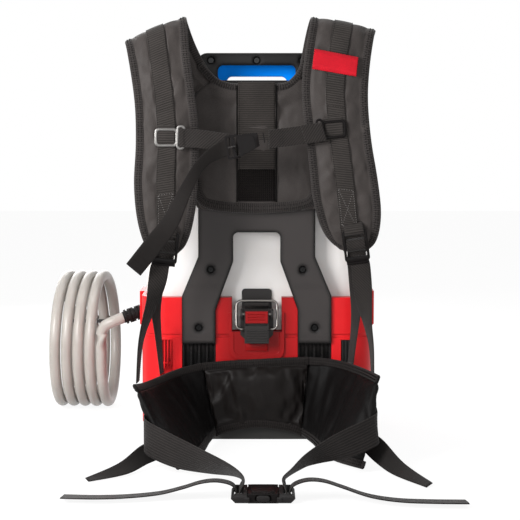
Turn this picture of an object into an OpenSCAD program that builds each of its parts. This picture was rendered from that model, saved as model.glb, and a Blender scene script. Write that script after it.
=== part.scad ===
// Battery backpack sprayer: a water tank latched on a pump base, held by a moulded carry
// frame with a padded harness, and a coiled outlet hose.
// Lengths are millimetres. Inside the modules Y = 0 is the front face of the carry frame
// and Z = 0 the underside of the base; seat() moves each piece to the origin, which is the
// centre of the base's underside. The wearer stands on the -Y side.

/* [Carry frame] */
// Height of the frame's top edge above the floor
frame_h = 590; // [585:1:600]
// Width of the frame's upper plate
frame_w = 178; // [170:1:186]
// Depth of the frame from front to back
frame_t = 18; // [17:0.5:20]
// Thickness of the frame's front wall
frame_wall = 4; // [3:0.5:5]
// Thickness of the frame's side walls
frame_side = 3.5; // [3:0.5:5]
// Width of each leg
leg_w = 51; // [46:1:54]
// Clear width between the legs
leg_gap = 126; // [122:1:130]
// Height where the frame starts to widen into its legs
shoulder_z = 282; // [276:1:290]
// Top of the window between the legs
window_top = 319; // [310:1:330]
// Width of the window between the legs
window_w = 72; // [66:1:76]
// Width of the grip slot in the frame's top bar
grip_w = 118; // [112:1:122]
// Height of the grip slot
grip_h = 23; // [20:1:25]

/* [Base] */
// Width of the pump base
base_w = 356; // [350:1:366]
// Depth of the pump base from front to back
base_d = 246; // [242:1:256]
// Height of the base's rim, where the tank goes in
rim_z = 219; // [214:1:224]
// Thickness of the base's walls
base_wall = 3; // [2.5:0.5:4]
// Radius of the base's upright corners
base_r = 45; // [40:1:50]
// Height of the black bottom tray
tray_h = 22; // [18:1:23]
// Thickness of the tray's floor and walls
tray_wall = 3; // [2.5:0.5:4]
// Height of the deck that carries the tank
deck_z = 196; // [192:1:198]
// How far the side lugs stand out
lug_out = 8; // [6:0.5:10]

/* [Tank] */
// Width of the tank
tank_w = 344; // [336:1:346]
// Depth of the tank
tank_d = 176; // [170:1:180]
// Height of the tank's top above the floor
tank_top = 500; // [490:1:506]
// Thickness of the tank's wall
tank_wall = 3; // [2.5:0.25:4]
// Radius of the tank's upright corners
tank_r = 45; // [40:1:50]
// Outer radius of the filling neck
neck_r = 56; // [50:1:58]
// Height of the filling neck
neck_h = 22; // [18:1:24]
// Thickness of the cap's skirt
cap_wall = 5; // [4:0.5:6]
// Number of grip ribs on the cap
cap_ribs = 18; // [8:1:24]

/* [Latch] */
// Height of the lever's pivot above the floor
pivot_z = 195; // [193:0.5:196]
// Distance from the lever's pivot down to the wire bail's pivot
bail_drop = 23; // [21:0.5:24]
// Width of the lever
lever_w = 37; // [34:1:38]
// Length of the lever below its pivot
lever_l = 44; // [42:1:48]
// Radius of the wire bail's rod
bail_r = 2; // [1.5:0.25:2.5]
// Distance between the centres of the bail's legs
bail_w = 62; // [60:1:66]
// Radius of the lever's pivot pin
pin_r = 2; // [1.5:0.25:2.25]

/* [Hose] */
// Outer diameter of the hose
hose_od = 19; // [16:0.5:19]
// Radius of the coil's turns, to the middle of the hose
coil_r = 107.5; // [100:0.5:115]
// Distance between neighbouring turns
coil_pitch = 19.6; // [19.6:0.1:24]
// Length of the strain relief boot
boot_l = 44; // [40:1:46]
// Outer radius of the strain relief boot
boot_r = 12; // [11:0.5:13]

/* [Harness] */
// Thickness of the shoulder pads, the hip wings and the lumbar pad
pad_t = 12; // [8:1:13]
// Thickness of the woven webbing
web_t = 1.6; // [1.2:0.1:2]
// Width of the webbing on the shoulder straps
shoulder_web = 30; // [25:1:32]
// Width of the waist belt's webbing
waist_web = 50; // [45:1:52]
// Width of the webbing sewn up the middle of the back yoke
yoke_web = 56; // [50:1:60]

/* [Fits] */
// Clearance between pieces that seat on each other
gap = 0.3; // [0.2:0.05:0.4]
// Radial clearance of a pin or shaft in its bore
run = 0.05; // [0.03:0.01:0.1]

/* [Hidden] */
$fn = 64;

// Colours
red = [0.86, 0.14, 0.15];
black = [0.22, 0.21, 0.20];
deep_black = [0.10, 0.10, 0.10];
cloth = [0.26, 0.25, 0.24];
web_black = [0.16, 0.15, 0.14];
milk = [0.88, 0.86, 0.84, 0.9];
blue = [0.02, 0.45, 0.88];
steel = [0.72, 0.72, 0.72];
hose_grey = [0.80, 0.77, 0.75];

// Base
base_front = 4;
base_back = base_front + base_d;
mid_y = base_front + base_d / 2;
shell_z = tray_h + gap;
channel_back = frame_t + gap;
sump_w = 140;
sump_front = 30;
sump_d = 90;
sump_r = 12;
sump_z = 150;
notch_w = 76;
notch_z = 167;
groove_z = 160;
groove_h = 6;
groove_d = 2.4;
lug_front = 110;
lug_back = 190;
lug_z = 160;
recess_x = 129;
recess_w = 19;
recess_z = 96;
recess_h = 58;
recess_d = 12;

// Tank
tank_front = 24;
tank_mid_y = tank_front + tank_d / 2;
tank_z = deck_z + gap;
tank_seat = 1;
tank_top_r = 50;
tank_low_r = 26;
neck_y = tank_front + 106;
neck_wall = 4;
ledge_w = 3;
ledge_z = tank_top + neck_h - 7;
strainer_r = neck_r - neck_wall - ledge_w - 1;
strainer_h = 60;
gasket_h = 3.4;
cap_top_h = 8;
neck_top = tank_top + neck_h;
cap_z = neck_top + 2 * gap + gasket_h;
handle_front = 38;
handle_back = 58;
handle_w = 120;
handle_leg = 14;
handle_bar = 24;
handle_top = tank_top + 80;
handle_foot_z = tank_top + 3;
valve_y = 75;
valve_r = 8;

// Screws through the frame: X, Z and how deep the shank goes
head_r = 4;
shank_r = 2.4;
hole_r = 2.5;
screw_recess_r = 6;
screw_recess_d = 5;
boss_r = 9;
cover_front = frame_t - 4;
leg_mid = (leg_gap + leg_w) / 2;
top_screw_z = frame_h - 11;
upper_screws = [[-69, top_screw_z], [0, top_screw_z], [69, top_screw_z], [-70, 262], [70, 262]];
leg_screws = [[-leg_mid, 173], [leg_mid, 173]];
leg_screw_end = 30;
grip_z = frame_h - 29.5;

// Latch
pivot_y = -8.6;
bail_y = pivot_y + 1;
bail_z = pivot_z - bail_drop;
hook_y = 2;
hook_z = 214.2;
bracket_w = 50;
bracket_t = 3;
bracket_back = base_front - 2 - gap;
cheek_t = 3.5;
cheek_r = 9;
lever_front = -17;
lever_back = -2.2;
lock_w = 34;
lock_h = 18;
lock_z = pivot_z - 13;
lock_travel = 4;
lock_d = 4.5;

// Rear controls and battery
door_x = base_w / 2 - 142;
door_w = 98;
door_z = 28;
door_h = 76;
battery_x = door_x + 10;
battery_w = 78;
hinge_y = base_back + 4;
hinge_z = door_z - 2;
knuckle_r = 4;
hinge_pin_r = 1.75;
dial_x = -60;
dial_z = 140;
dial_r = 16;
shaft_r = 3;
button_x = -105;
button_r = 7;
board_y = base_back - 16;

// Pump
pump_w = 58;
pump_clear = 7.7;
pump_x = battery_x - pump_clear - pump_w;
motor_y = 150;
motor_z = 70;
motor_r = 32;
motor_l = 80;
motor_x = pump_x - gap - motor_l / 2;
motor_shaft_r = 2.5;

// Hose: the route of the outlet, its boot and the first stretch of hose
outlet_p = [5 - base_w / 2, base_back - 32, 181];
outlet_v = unit([-42, -7, -14]);
ferrule_l = 6;
ferrule_r = 14;
boot_end = outlet_p + outlet_v * (ferrule_l + gap + boot_l);
coil_yaw = -4;
coil_start = 180;
coil_end = 1820;
coil_rings = 24;
coil_sides = 6;
coil_x = -257;
coil_y = 322;
coil_z = coil_r + hose_od / 2 + 0.5;
coil_axis = [cos(coil_yaw), sin(coil_yaw), 0];
coil_out = [-sin(coil_yaw), cos(coil_yaw), 0];
coil_mid = [coil_x + coil_r * coil_out.x, coil_y, coil_z];
coupling_l = 30;
coupling_r = 9.4;
tie_angle = 11;
tie_h = 6;
tie_t = 1.2;
tie_gap = 1.1;

// Harness, written as pairs of edge points. Left and right are as the viewer sees them.
yoke_t = 14;
yoke_y = -gap - yoke_t / 2;
web_gap = 0.3;

// Shoulder pads: outer edge and inner edge, from the seam on the yoke over the top and down
left_outer = [[-118.5, yoke_y, 507], [-137, yoke_y - 1, 528], [-165, yoke_y - 2, 564],
    [-190, yoke_y - 6, 598], [-197, -28, 613], [-193, -50, 602], [-184, -62, 555],
    [-178, -70, 506], [-177, -75, 450], [-180, -77, 397], [-176, -76, 345],
    [-165, -73, 305], [-152, -71, 289]];
left_inner = [[-60.5, yoke_y, 548], [-69, yoke_y - 1, 568], [-84, yoke_y - 2, 600],
    [-104, yoke_y - 6, 637], [-107, -28, 650], [-103, -50, 638], [-100, -62, 590],
    [-93, -70, 535], [-86, -75, 474], [-87, -77, 412], [-91, -76, 356],
    [-103, -73, 309], [-121, -71, 288]];
right_outer = [[118.5, yoke_y, 507], [137, yoke_y - 1, 528], [158, yoke_y - 2, 570],
    [174, yoke_y - 6, 612], [178, -28, 630], [173, -50, 620], [166, -62, 572],
    [163, -70, 518], [168, -75, 458], [177, -77, 405], [183, -76, 352],
    [177, -73, 312], [160, -71, 293]];
right_inner = [[60.5, yoke_y, 548], [66, yoke_y - 1, 568], [70, yoke_y - 2, 600],
    [76, yoke_y - 6, 634], [80, -28, 648], [80, -50, 638], [72, -62, 590],
    [67, -70, 532], [73, -75, 472], [79, -77, 414], [85, -76, 366],
    [100, -73, 322], [124, -71, 297]];
// Stretch of a pad that its webbing runs along, as indexes into its edge lists
web_first = 5;
// Steps that a shoulder pad is smoothed with between two of its points
pad_steps = 2;

// Yoke panel: half width and height of its side edges, bottom to top
yoke_side = [[50, 352], [92, 359], [99, 400], [103, 440], [110, 475], [118, 506.5], [60, 547.5]];
yoke_web_top = 546;
patch_top = 415;
patch_z = 367;

// Webbing below the ladder locks: one branch to the base, one to the hip wing. The fourth number
// is the angle that the strap has turned by there.
left_anchor_web = [[-140, -80, 281.5, 0], [-148, -66, 245, 20], [-151, -46, 205, 50],
    [-149, -26, 165, 65], [-144, -5.2, 115, 70]];
left_wing_web = [[-142.6, -86, 278.6, 0], [-146, -88, 252, 15], [-151, -91, 225, 42],
    [-159, -98, 195, 60], [-166, -110, 160, 72], [-168.9, -129, 107, 78]];
right_anchor_web = [[144, -80, 284.5, 0], [148, -66, 245, -20], [149, -46, 205, -50],
    [147, -26, 165, -65], [143, -5.2, 118, -70]];
right_wing_web = [[153, -86, 281.6, 0], [156, -88, 245, -10], [159, -92, 215, -40],
    [162, -99, 190, -62], [166, -112, 155, -74], [168.9, -129, 113, -78]];

// Lumbar pad and hip wings: top edge and bottom edge
lumbar_y = base_front - gap - pad_t / 2;
lumbar_top = [[-83, lumbar_y, 122], [-45, lumbar_y, 125], [0, lumbar_y, 126],
    [45, lumbar_y, 127], [80, lumbar_y, 128]];
lumbar_low = [[-62, lumbar_y - 1, 8], [-46, lumbar_y - 2, 20], [0, lumbar_y - 4, 31],
    [50, lumbar_y - 2, 22], [68, lumbar_y - 1, 8]];
left_wing_top = [[-84.8, lumbar_y - 0.5, 122], [-122, -26, 118], [-150, -80, 114], [-166, -130, 112],
    [-174, -196, 114]];
left_wing_low = [[-63.8, lumbar_y - 1.5, 8], [-72, -60, 6], [-77, -125, 6], [-88, -195, 6],
    [-108, -256, 6]];
right_wing_top = [[81.8, lumbar_y - 0.5, 128], [124, -26, 124], [152, -80, 120], [166, -130, 119],
    [175, -190, 120]];
right_wing_low = [[69.8, lumbar_y - 1.5, 8], [84, -60, 6], [94, -125, 6], [112, -195, 6],
    [147, -252, 6]];

// Waist webbing: its two edges, from the outside of the wing to the buckle
left_waist_a = [on_wing(left_wing_top, left_wing_low, 3, 0.25, 1), [-167, -195, 84],
    [-166, -224, 81], [-130, -256, 67], [-84, -302, 48], [-40, -365, 38], [-20, -398, 30],
    [-15, -425, 24], [-20.5, -441, 15], [-21.6, -442, 6]];
left_waist_b = [on_wing(left_wing_top, left_wing_low, 3, 0.68, 1), [-148, -205, 34],
    [-164, -228, 29], [-141, -254, 19], [-107, -282, 12], [-66, -314, 12], [-34, -338, 14],
    [-19, -375, 17], [-20.5, -393, 14.5], [-21.6, -394, 6]];
right_waist_a = [on_wing(right_wing_top, right_wing_low, 3, 0.2, -1), [179, -190, 90],
    [170, -222, 85], [108, -258, 58], [68, -310, 39], [46, -372, 30], [34, -412, 25],
    [38.4, -441, 15], [39.6, -442, 6]];
right_waist_b = [on_wing(right_wing_top, right_wing_low, 3, 0.6, -1), [165, -215, 42],
    [176, -232, 36], [133, -262, 25], [82, -294, 21], [62, -330, 22], [40, -372, 18],
    [38.4, -393, 14.5], [39.6, -394, 6]];

// Free ends of the waist webbing: middle line
left_tail = [[-26, -418, 5], [-26.2, -418, 14], [-34, -416, 20.5], [-52, -412, 23],
    [-72, -408, 20], [-95, -408, 13], [-125, -412, 6.5], [-165, -422, 4.5],
    [-205, -428, 4.5], [-250, -424, 4.5]];
right_tail = [[44, -418, 5], [44.2, -418, 14], [52, -416, 20.5], [68, -412, 24],
    [88, -410, 22], [112, -414, 15], [145, -430, 7], [182, -446, 4.5],
    [225, -454, 4.5], [268, -456, 4.5]];
tail_lean = 3;

// Straps that hang from the hip wings to the floor: their two edges
left_wing_tail_a = [[-130, -186, 33], [-160, -208, 32], [-190, -262, 16], [-232, -306, 4]];
left_wing_tail_b = [[-121, -194, 14.2], [-150, -222, 8], [-178, -280, 4], [-226, -318, 2]];
right_wing_tail_a = [[153.6, -182, 50.7], [178, -200, 38], [204, -262, 16], [236, -338, 4]];
right_wing_tail_b = [[145.6, -192, 26.7], [166, -222, 10], [188, -284, 4], [226, -356, 2]];

// Sternum strap: middle line of each stretch
sternum_left = [[-133, -88.6, 468], [-110, -90, 466], [-80, -94, 463], [-38.8, -96, 458]];
sternum_right = [[20.6, -96, 465.5], [50, -93, 470], [80, -90, 475], [102, -87.8, 477]];
tail_a = [[-39.6, -98.1, 468], [-48, -98.6, 464], [-62, -110, 455], [-84, -121, 430], [-92, -125, 395],
    [-112, -122, 352], [-144, -118, 312], [-188, -113, 277]];
tail_b = [[-38.4, -98.1, 447], [-44, -98.6, 441], [-54, -104, 435], [-66, -113, 415], [-76, -119, 382],
    [-92, -116, 341], [-122, -110, 299], [-168, -103, 258]];

// Small geometry functions
function unit(v) = v / norm(v);
function blend(a, b, t) = a + (b - a) * t;
function spline(a, b, c, d, t) =
    0.5 * (2 * b + (c - a) * t + (2 * a - 5 * b + 4 * c - d) * t * t
        + (3 * b - a - 3 * c + d) * t * t * t);
// A smooth curve through the points p with n steps to each span
function smooth(p, n) = [
    for (i = [0:len(p) - 2]) for (k = [0:n - 1])
        spline(p[max(i - 1, 0)], p[i], p[i + 1], p[min(i + 2, len(p) - 1)], k / n),
    p[len(p) - 1]];
// The points of p shifted by v
function shifted(p, v) = [for (q = p) q + v];
// The points that run along the middle of two edges
function middles(a, b) = [for (i = [0:len(a) - 1]) (a[i] + b[i]) / 2];
function tangent(p, i) = unit(p[min(i + 1, len(p) - 1)] - p[max(i - 1, 0)]);
// Normals of the surface between two edges
function normals(a, b) = [for (i = [0:len(a) - 1])
    unit(cross(tangent(middles(a, b), i), a[i] - b[i]))];
// A point on the outer face of a hip wing, part way down its station k
function on_wing(top, low, k, part, way) = blend(top[k], low[k], part)
    + normals(top, low)[k] * way * (pad_t / 2 + 0.5 + web_t / 2);
// Outline corners [x, y, radius] turned into a closed outline with arcs
function corner(a, b, c, r, n = 5) =
    let (u = unit(a - b), v = unit(c - b), half = acos(u * v) / 2,
        mid = b + unit(u + v) * r / sin(half),
        p = b + u * r / tan(half) - mid, q = b + v * r / tan(half) - mid,
        from = atan2(p.y, p.x), sweep = (atan2(q.y, q.x) - from + 540) % 360 - 180)
    [for (k = [0:n]) mid + r * [cos(from + sweep * k / n), sin(from + sweep * k / n)]];
function rounded(p) = [for (i = [0:len(p) - 1])
    let (m = len(p), a = p[(i + m - 1) % m], b = p[i], c = p[(i + 1) % m])
    each b[2] > 0 ? corner([a.x, a.y], [b.x, b.y], [c.x, c.y], b[2]) : [[b.x, b.y]]];
function turned(p) = let (m = len(p))
    [for (i = [0:m - 1]) cross(p[i], p[(i + 1) % m])] * [for (i = [0:m - 1]) 1];
// The outline p moved inwards by d
function inset(p, d) = let (m = len(p), way = sign(turned(p)))
    [for (i = [0:m - 1])
        let (u = unit(p[i] - p[(i + m - 1) % m]), v = unit(p[(i + 1) % m] - p[i]),
            nu = [-u.y, u.x], nv = [-v.y, v.x])
        p[i] + way * d * (nu + nv) / (1 + nu * nv)];
// A right half outline closed with its mirror image
function both(p) = concat(p, [for (i = [len(p) - 1:-1:0]) [-p[i].x, p[i].y, p[i][2]]]);

// Small geometry modules
module seat() {
    translate([0, -mid_y, 0]) children();
}
module slab(y0, y1) {
    translate([0, y1, 0]) rotate([90, 0, 0]) linear_extrude(y1 - y0) children();
}
module across(x0, x1) {
    translate([x0, 0, 0]) rotate([90, 0, 90]) linear_extrude(x1 - x0) children();
}
module level(z0, z1) {
    translate([0, 0, z0]) linear_extrude(z1 - z0) children();
}
module round_rect(w, h, r) {
    square([w - 2 * r, h], center = true);
    square([w, h - 2 * r], center = true);
    for (x = [-1, 1], y = [-1, 1])
        translate([x * (w / 2 - r), y * (h / 2 - r)]) circle(r);
}
module upright_outline(w, z0, z1, r_low, r_top) {
    polygon([[-w / 2, z0 + r_low], [-w / 2 + r_low, z0], [w / 2 - r_low, z0],
        [w / 2, z0 + r_low], [w / 2, z1 - r_top], [w / 2 - r_top, z1],
        [r_top - w / 2, z1], [-w / 2, z1 - r_top]]);
    for (x = [-1, 1]) {
        translate([x * (w / 2 - r_low), z0 + r_low]) circle(r_low);
        translate([x * (w / 2 - r_top), z1 - r_top]) circle(r_top);
    }
}
module rod_y(x, z, y0, y1, r) {
    translate([x, y1, z]) rotate([90, 0, 0]) cylinder(h = y1 - y0, r = r);
}
module rod_x(y, z, x0, x1, r) {
    translate([x0, y, z]) rotate([0, 90, 0]) cylinder(h = x1 - x0, r = r);
}
module box(x0, x1, y0, y1, z0, z1) {
    translate([x0, y0, z0]) cube([x1 - x0, y1 - y0, z1 - z0]);
}
module both_sides() {
    children();
    mirror([1, 0, 0]) children();
}
// A closed solid through a row of rings that all have the same number of points
module loft(rings) {
    n = len(rings[0]);
    m = len(rings);
    way = cross(rings[0][1] - rings[0][0], rings[0][2] - rings[0][1])
        * (rings[1][0] - rings[0][0]);
    sides = [for (k = [0:m - 2], j = [0:n - 1]) each
        [[k * n + j, (k + 1) * n + j, (k + 1) * n + (j + 1) % n],
        [k * n + j, (k + 1) * n + (j + 1) % n, k * n + (j + 1) % n]]];
    ends = [for (j = [1:n - 2]) each
        [[0, j, j + 1], [(m - 1) * n, (m - 1) * n + j + 1, (m - 1) * n + j]]];
    faces = concat(sides, ends);
    polyhedron([for (r = rings) each r],
        way > 0 ? faces : [for (f = faces) [f[2], f[1], f[0]]], convexity = 6);
}
// Webbing: a flat band between two edges
module band(a, b, t = web_t, n = 3) {
    p = smooth(a, n);
    q = smooth(b, n);
    m = normals(p, q);
    loft([for (i = [0:len(p) - 1])
        [p[i] + m[i] * t / 2, q[i] + m[i] * t / 2, q[i] - m[i] * t / 2, p[i] - m[i] * t / 2]]);
}
// A padded strap: full in the middle, drawn in at both sewn edges and at its end seams
crown = [[0, 0.3], [0.05, 0.8], [0.15, 1], [0.85, 1], [0.95, 0.8], [1, 0.3]];
module pad(a, b, t = pad_t, n = 3, seam = 0.25) {
    p = smooth(a, n);
    q = smooth(b, n);
    m = normals(p, q);
    last = len(p) - 1;
    loft([for (i = [0:last])
        let (h = m[i] * (i == 0 || i == last ? seam : 1) * t / 2)
        concat([for (c = crown) blend(p[i], q[i], c[0]) + h * c[1]],
            [for (k = [len(crown) - 1:-1:0])
                blend(p[i], q[i], crown[k][0]) - h * crown[k][1]])]);
}
// A band that follows the middle of a pad, on the side that its normals point to
module band_on_pad(a, b, from, w, way) {
    p = smooth(a, pad_steps);
    q = smooth(b, pad_steps);
    m = normals(p, q);
    mid = middles(p, q);
    lift = way * (pad_t / 2 + web_gap + web_t / 2);
    line = [for (i = [from * pad_steps:len(p) - 1]) mid[i] + m[i] * lift];
    half = [for (i = [from * pad_steps:len(p) - 1]) unit(p[i] - q[i]) * w / 2];
    band([for (i = [0:len(line) - 1]) line[i] + half[i]],
        [for (i = [0:len(line) - 1]) line[i] - half[i]], web_t, 1);
}
// A round tube along points
module tube(p, r, sides = 8, up = [0, 1, 0]) {
    loft([for (i = [0:len(p) - 1])
        let (t = tangent(p, i), u = unit(cross(up, t)), v = cross(t, u))
        [for (k = [0:sides - 1]) p[i] + r * (u * cos(360 * k / sides) + v * sin(360 * k / sides))]]);
}

// Carry frame
leg_z = 149;
frame_points = rounded(both([[frame_w / 2, frame_h, 14], [frame_w / 2, shoulder_z, 8],
    [leg_gap / 2 + leg_w, shoulder_z - 60, 8], [leg_gap / 2 + leg_w, leg_z, 0],
    [leg_gap / 2, leg_z, 0], [leg_gap / 2, 200, 8], [window_w / 2, shoulder_z - 8, 8],
    [window_w / 2, window_top, 8]]));
foot_z = tray_h + 2;
rib_pitch = 12;
rib_t = 2.5;
module frame_outline(d) {
    polygon(inset(frame_points, d));
}
module grip_slot(d) {
    translate([0, grip_z]) round_rect(grip_w + 2 * d, grip_h + 2 * d, 8 + d);
}
module screw_rods(list, y0, y1, r) {
    for (s = list) rod_y(s.x, s.y, y0, y1, r);
}
module harness_frame() seat() color(black) {
    difference() {
        slab(0, frame_t) frame_outline(0);
        difference() {
            slab(frame_wall, frame_t + 1) frame_outline(frame_side);
            slab(0, frame_t + 2) grip_slot(3);
            screw_rods(concat(upper_screws, leg_screws), 0, cover_front - gap, boss_r);
            for (z = [360:50:510]) box(-frame_w, frame_w, 0, cover_front - gap, z, z + rib_t);
            for (z = [160, 235]) box(-frame_w, frame_w, 0, cover_front - gap, z, z + rib_t);
        }
        slab(-1, frame_t + 1) grip_slot(0);
        screw_rods(concat(upper_screws, leg_screws), -1, screw_recess_d, screw_recess_r);
        screw_rods(concat(upper_screws, leg_screws), -1, frame_t + 1, hole_r);
    }
    both_sides() {
        box(leg_gap / 2, leg_gap / 2 + leg_w, frame_t - 3, frame_t, foot_z, leg_z + 1);
        for (k = [0:floor((leg_w - rib_t) / rib_pitch)])
            box(leg_gap / 2 + k * rib_pitch, leg_gap / 2 + k * rib_pitch + rib_t,
                5, frame_t, foot_z, leg_z + 1);
    }
}
module frame_rear_cover() seat() color(deep_black) difference() {
    slab(cover_front, frame_t) frame_outline(frame_side + gap);
    box(-200, 200, 0, frame_t + 1, 0, leg_z + 4);
    slab(0, frame_t + 1) grip_slot(3 + gap);
    screw_rods(concat(upper_screws, leg_screws), 0, frame_t + 1, hole_r);
}
module screw(x, z, end) {
    difference() {
        union() {
            rod_y(x, z, screw_recess_d - 3, screw_recess_d, head_r);
            rod_y(x, z, screw_recess_d - 0.5, end, shank_r);
        }
        translate([x, screw_recess_d - 1, z]) rotate([90, 0, 0]) cylinder(h = 4, r = 2, $fn = 6);
    }
}
module frame_screws() seat() color(steel) {
    for (s = upper_screws) screw(s.x, s.y, frame_t - 0.5);
    for (s = leg_screws) screw(s.x, s.y, leg_screw_end);
}

// Pump base
module base_plan(d) {
    translate([0, mid_y]) round_rect(base_w - 2 * d, base_d - 2 * d, base_r - d);
}
module leg_channels(d) {
    both_sides() box(leg_gap / 2 - gap - d, leg_gap / 2 + leg_w + gap + d,
        -20, channel_back + d, -10, rim_z + 20);
}
module tank_plan(d) {
    translate([0, tank_mid_y]) round_rect(tank_w - 2 * d, tank_d - 2 * d, tank_r - d);
}
module sump_plan(d) {
    translate([0, sump_front + sump_d / 2]) round_rect(sump_w - 2 * d, sump_d - 2 * d, sump_r - d);
}
module lug() {
    x = base_w / 2;
    slab(lug_front, lug_back)
        polygon([[x - 2, lug_z], [x + 2, lug_z], [x + lug_out, lug_z + 7], [x + lug_out, rim_z],
            [x - 2, rim_z]]);
}
module latch_panel() {
    slab(base_front - 2, base_front + 1)
        polygon(rounded(both([[42, deck_z, 0], [42, 124, 14]])));
    slab(base_front - 2.8, base_front - 1) difference() {
        polygon(rounded(both([[42, deck_z, 0], [42, 124, 14]])));
        polygon(rounded(both([[35, deck_z + 1, 0], [35, 131, 9]])));
    }
}
module along_outlet(from) {
    translate(outlet_p + outlet_v * from)
        rotate([0, acos(outlet_v.z), atan2(outlet_v.y, outlet_v.x)]) children();
}
module corner_recess(d) {
    both_sides() box(recess_x - d, recess_x + recess_w + d, -20, base_front + recess_d + d,
        recess_z - d, recess_z + recess_h + d);
}
module base_cavity() {
    difference() {
        union() {
            level(0, deck_z - base_wall) base_plan(base_wall);
            intersection() {
                level(0, rim_z - base_wall) base_plan(base_wall);
                box(-base_w, base_w, tank_front + tank_d + tank_seat + base_wall, base_back,
                    0, rim_z);
            }
        }
        leg_channels(base_wall);
        level(sump_z - base_wall, deck_z) sump_plan(-base_wall - tank_seat);
        screw_rods(leg_screws, 0, leg_screw_end + 3, 6);
        corner_recess(base_wall);
        rod_y(dial_x, dial_z, base_back - 8, base_back, 8);
        rod_y(button_x, dial_z, base_back - 8, base_back, button_r + 4);
        along_outlet(-14) cylinder(h = 14, r = ferrule_r + 3);
    }
}
module door_knuckle(x, w) {
    rod_x(hinge_y, hinge_z, x, x + w, knuckle_r);
    box(x, x + w, base_back - 1, hinge_y, hinge_z - knuckle_r + 0.5, hinge_z + 1.5);
}
module base_shell() seat() color(red) difference() {
    union() {
        level(shell_z, rim_z) base_plan(0);
        both_sides() lug();
        latch_panel();
        for (x = [door_x + 5, door_x + door_w - 19]) door_knuckle(x, 14);
    }
    base_cavity();
    level(deck_z, rim_z + 1) tank_plan(-tank_seat);
    level(sump_z, deck_z + 1) sump_plan(-tank_seat);
    leg_channels(0);
    slab(-20, channel_back) frame_outline(-gap);
    corner_recess(0);
    box(-notch_w / 2, notch_w / 2, -20, sump_front, notch_z, rim_z + 1);
    difference() {
        level(groove_z - groove_h / 2, groove_z + groove_h / 2) base_plan(-1);
        level(0, rim_z) base_plan(groove_d);
        latch_panel();
    }
    box(door_x - gap, door_x + door_w + gap, base_back - base_wall - 1, base_back + 20,
        door_z - gap, door_z + door_h + gap);
    translate([0, valve_y, 0]) cylinder(h = deck_z, r = valve_r + 4);
    screw_rods(leg_screws, 0, leg_screw_end + gap, hole_r);
    rod_x(hinge_y, hinge_z, door_x, door_x + door_w, hinge_pin_r + run);
    rod_y(dial_x, dial_z, base_back - 12, base_back + 9, shaft_r + run);
    rod_y(button_x, dial_z, base_back - 12, base_back + 9, button_r + run);
    along_outlet(-40) cylinder(h = 60, r = ferrule_r + run);
}
module post(x, y, z, w, d) {
    box(x - w / 2, x + w / 2, y - d / 2, y + d / 2, tray_wall - 1, z);
}
module base_tray() seat() color(deep_black) {
    difference() {
        level(0, tray_h) base_plan(groove_d);
        level(tray_wall, tray_h + 1) base_plan(groove_d + tray_wall);
        for (x = [-100, 100]) box(x - 50, x + 50, mid_y - 80, mid_y + 80, -1, 1);
    }
    for (x = [motor_x - 26, motor_x + 26]) difference() {
        post(x, motor_y, motor_z - 12, 6, 2 * motor_r - 8);
        rod_x(motor_y, motor_z, x - 9, x + 9, motor_r + run);
    }
    for (y = [motor_y - 20, motor_y + 20])
        post(pump_x + pump_w / 2, y, motor_z - pump_w / 2 - gap, 40, 8);
    for (x = [battery_x + 6, battery_x + battery_w - 6], y = [battery_y + 20, battery_y + 95])
        post(x, y, battery_z - gap, 10, 20);
    for (x = [board_x + 6, board_x + board_w - 6])
        box(x - 5, x + 5, board_y - 4, board_y - gap, tray_wall - 1, board_z + 40);
}
battery_l = 116;
battery_y = base_back - base_wall - 3 - battery_l;
battery_z = 30;
battery_h = 68;
board_x = 48 - base_w / 2;
board_w = 100;
board_z = 110;
board_h = 60;
module strap_anchor(side) {
    x0 = recess_x + gap;
    x1 = recess_x + recess_w - gap;
    y1 = base_front + recess_d - gap;
    z0 = recess_z + 14;
    z1 = recess_z + recess_h - gap;
    mirror([side < 0 ? 1 : 0, 0, 0]) {
        box(x0, x1, y1 - 3, y1, z0, z1);
        for (k = [0:3]) box(x0 + 1 + k * 5, x0 + 3 + k * 5, base_front + 2, y1, z0, z1);
        rod_x(base_front + 5, z0 + 8, x0, x1, 2);
    }
}
module strap_anchor_left() seat() color(deep_black) strap_anchor(-1);
module strap_anchor_right() seat() color(deep_black) strap_anchor(1);

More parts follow.
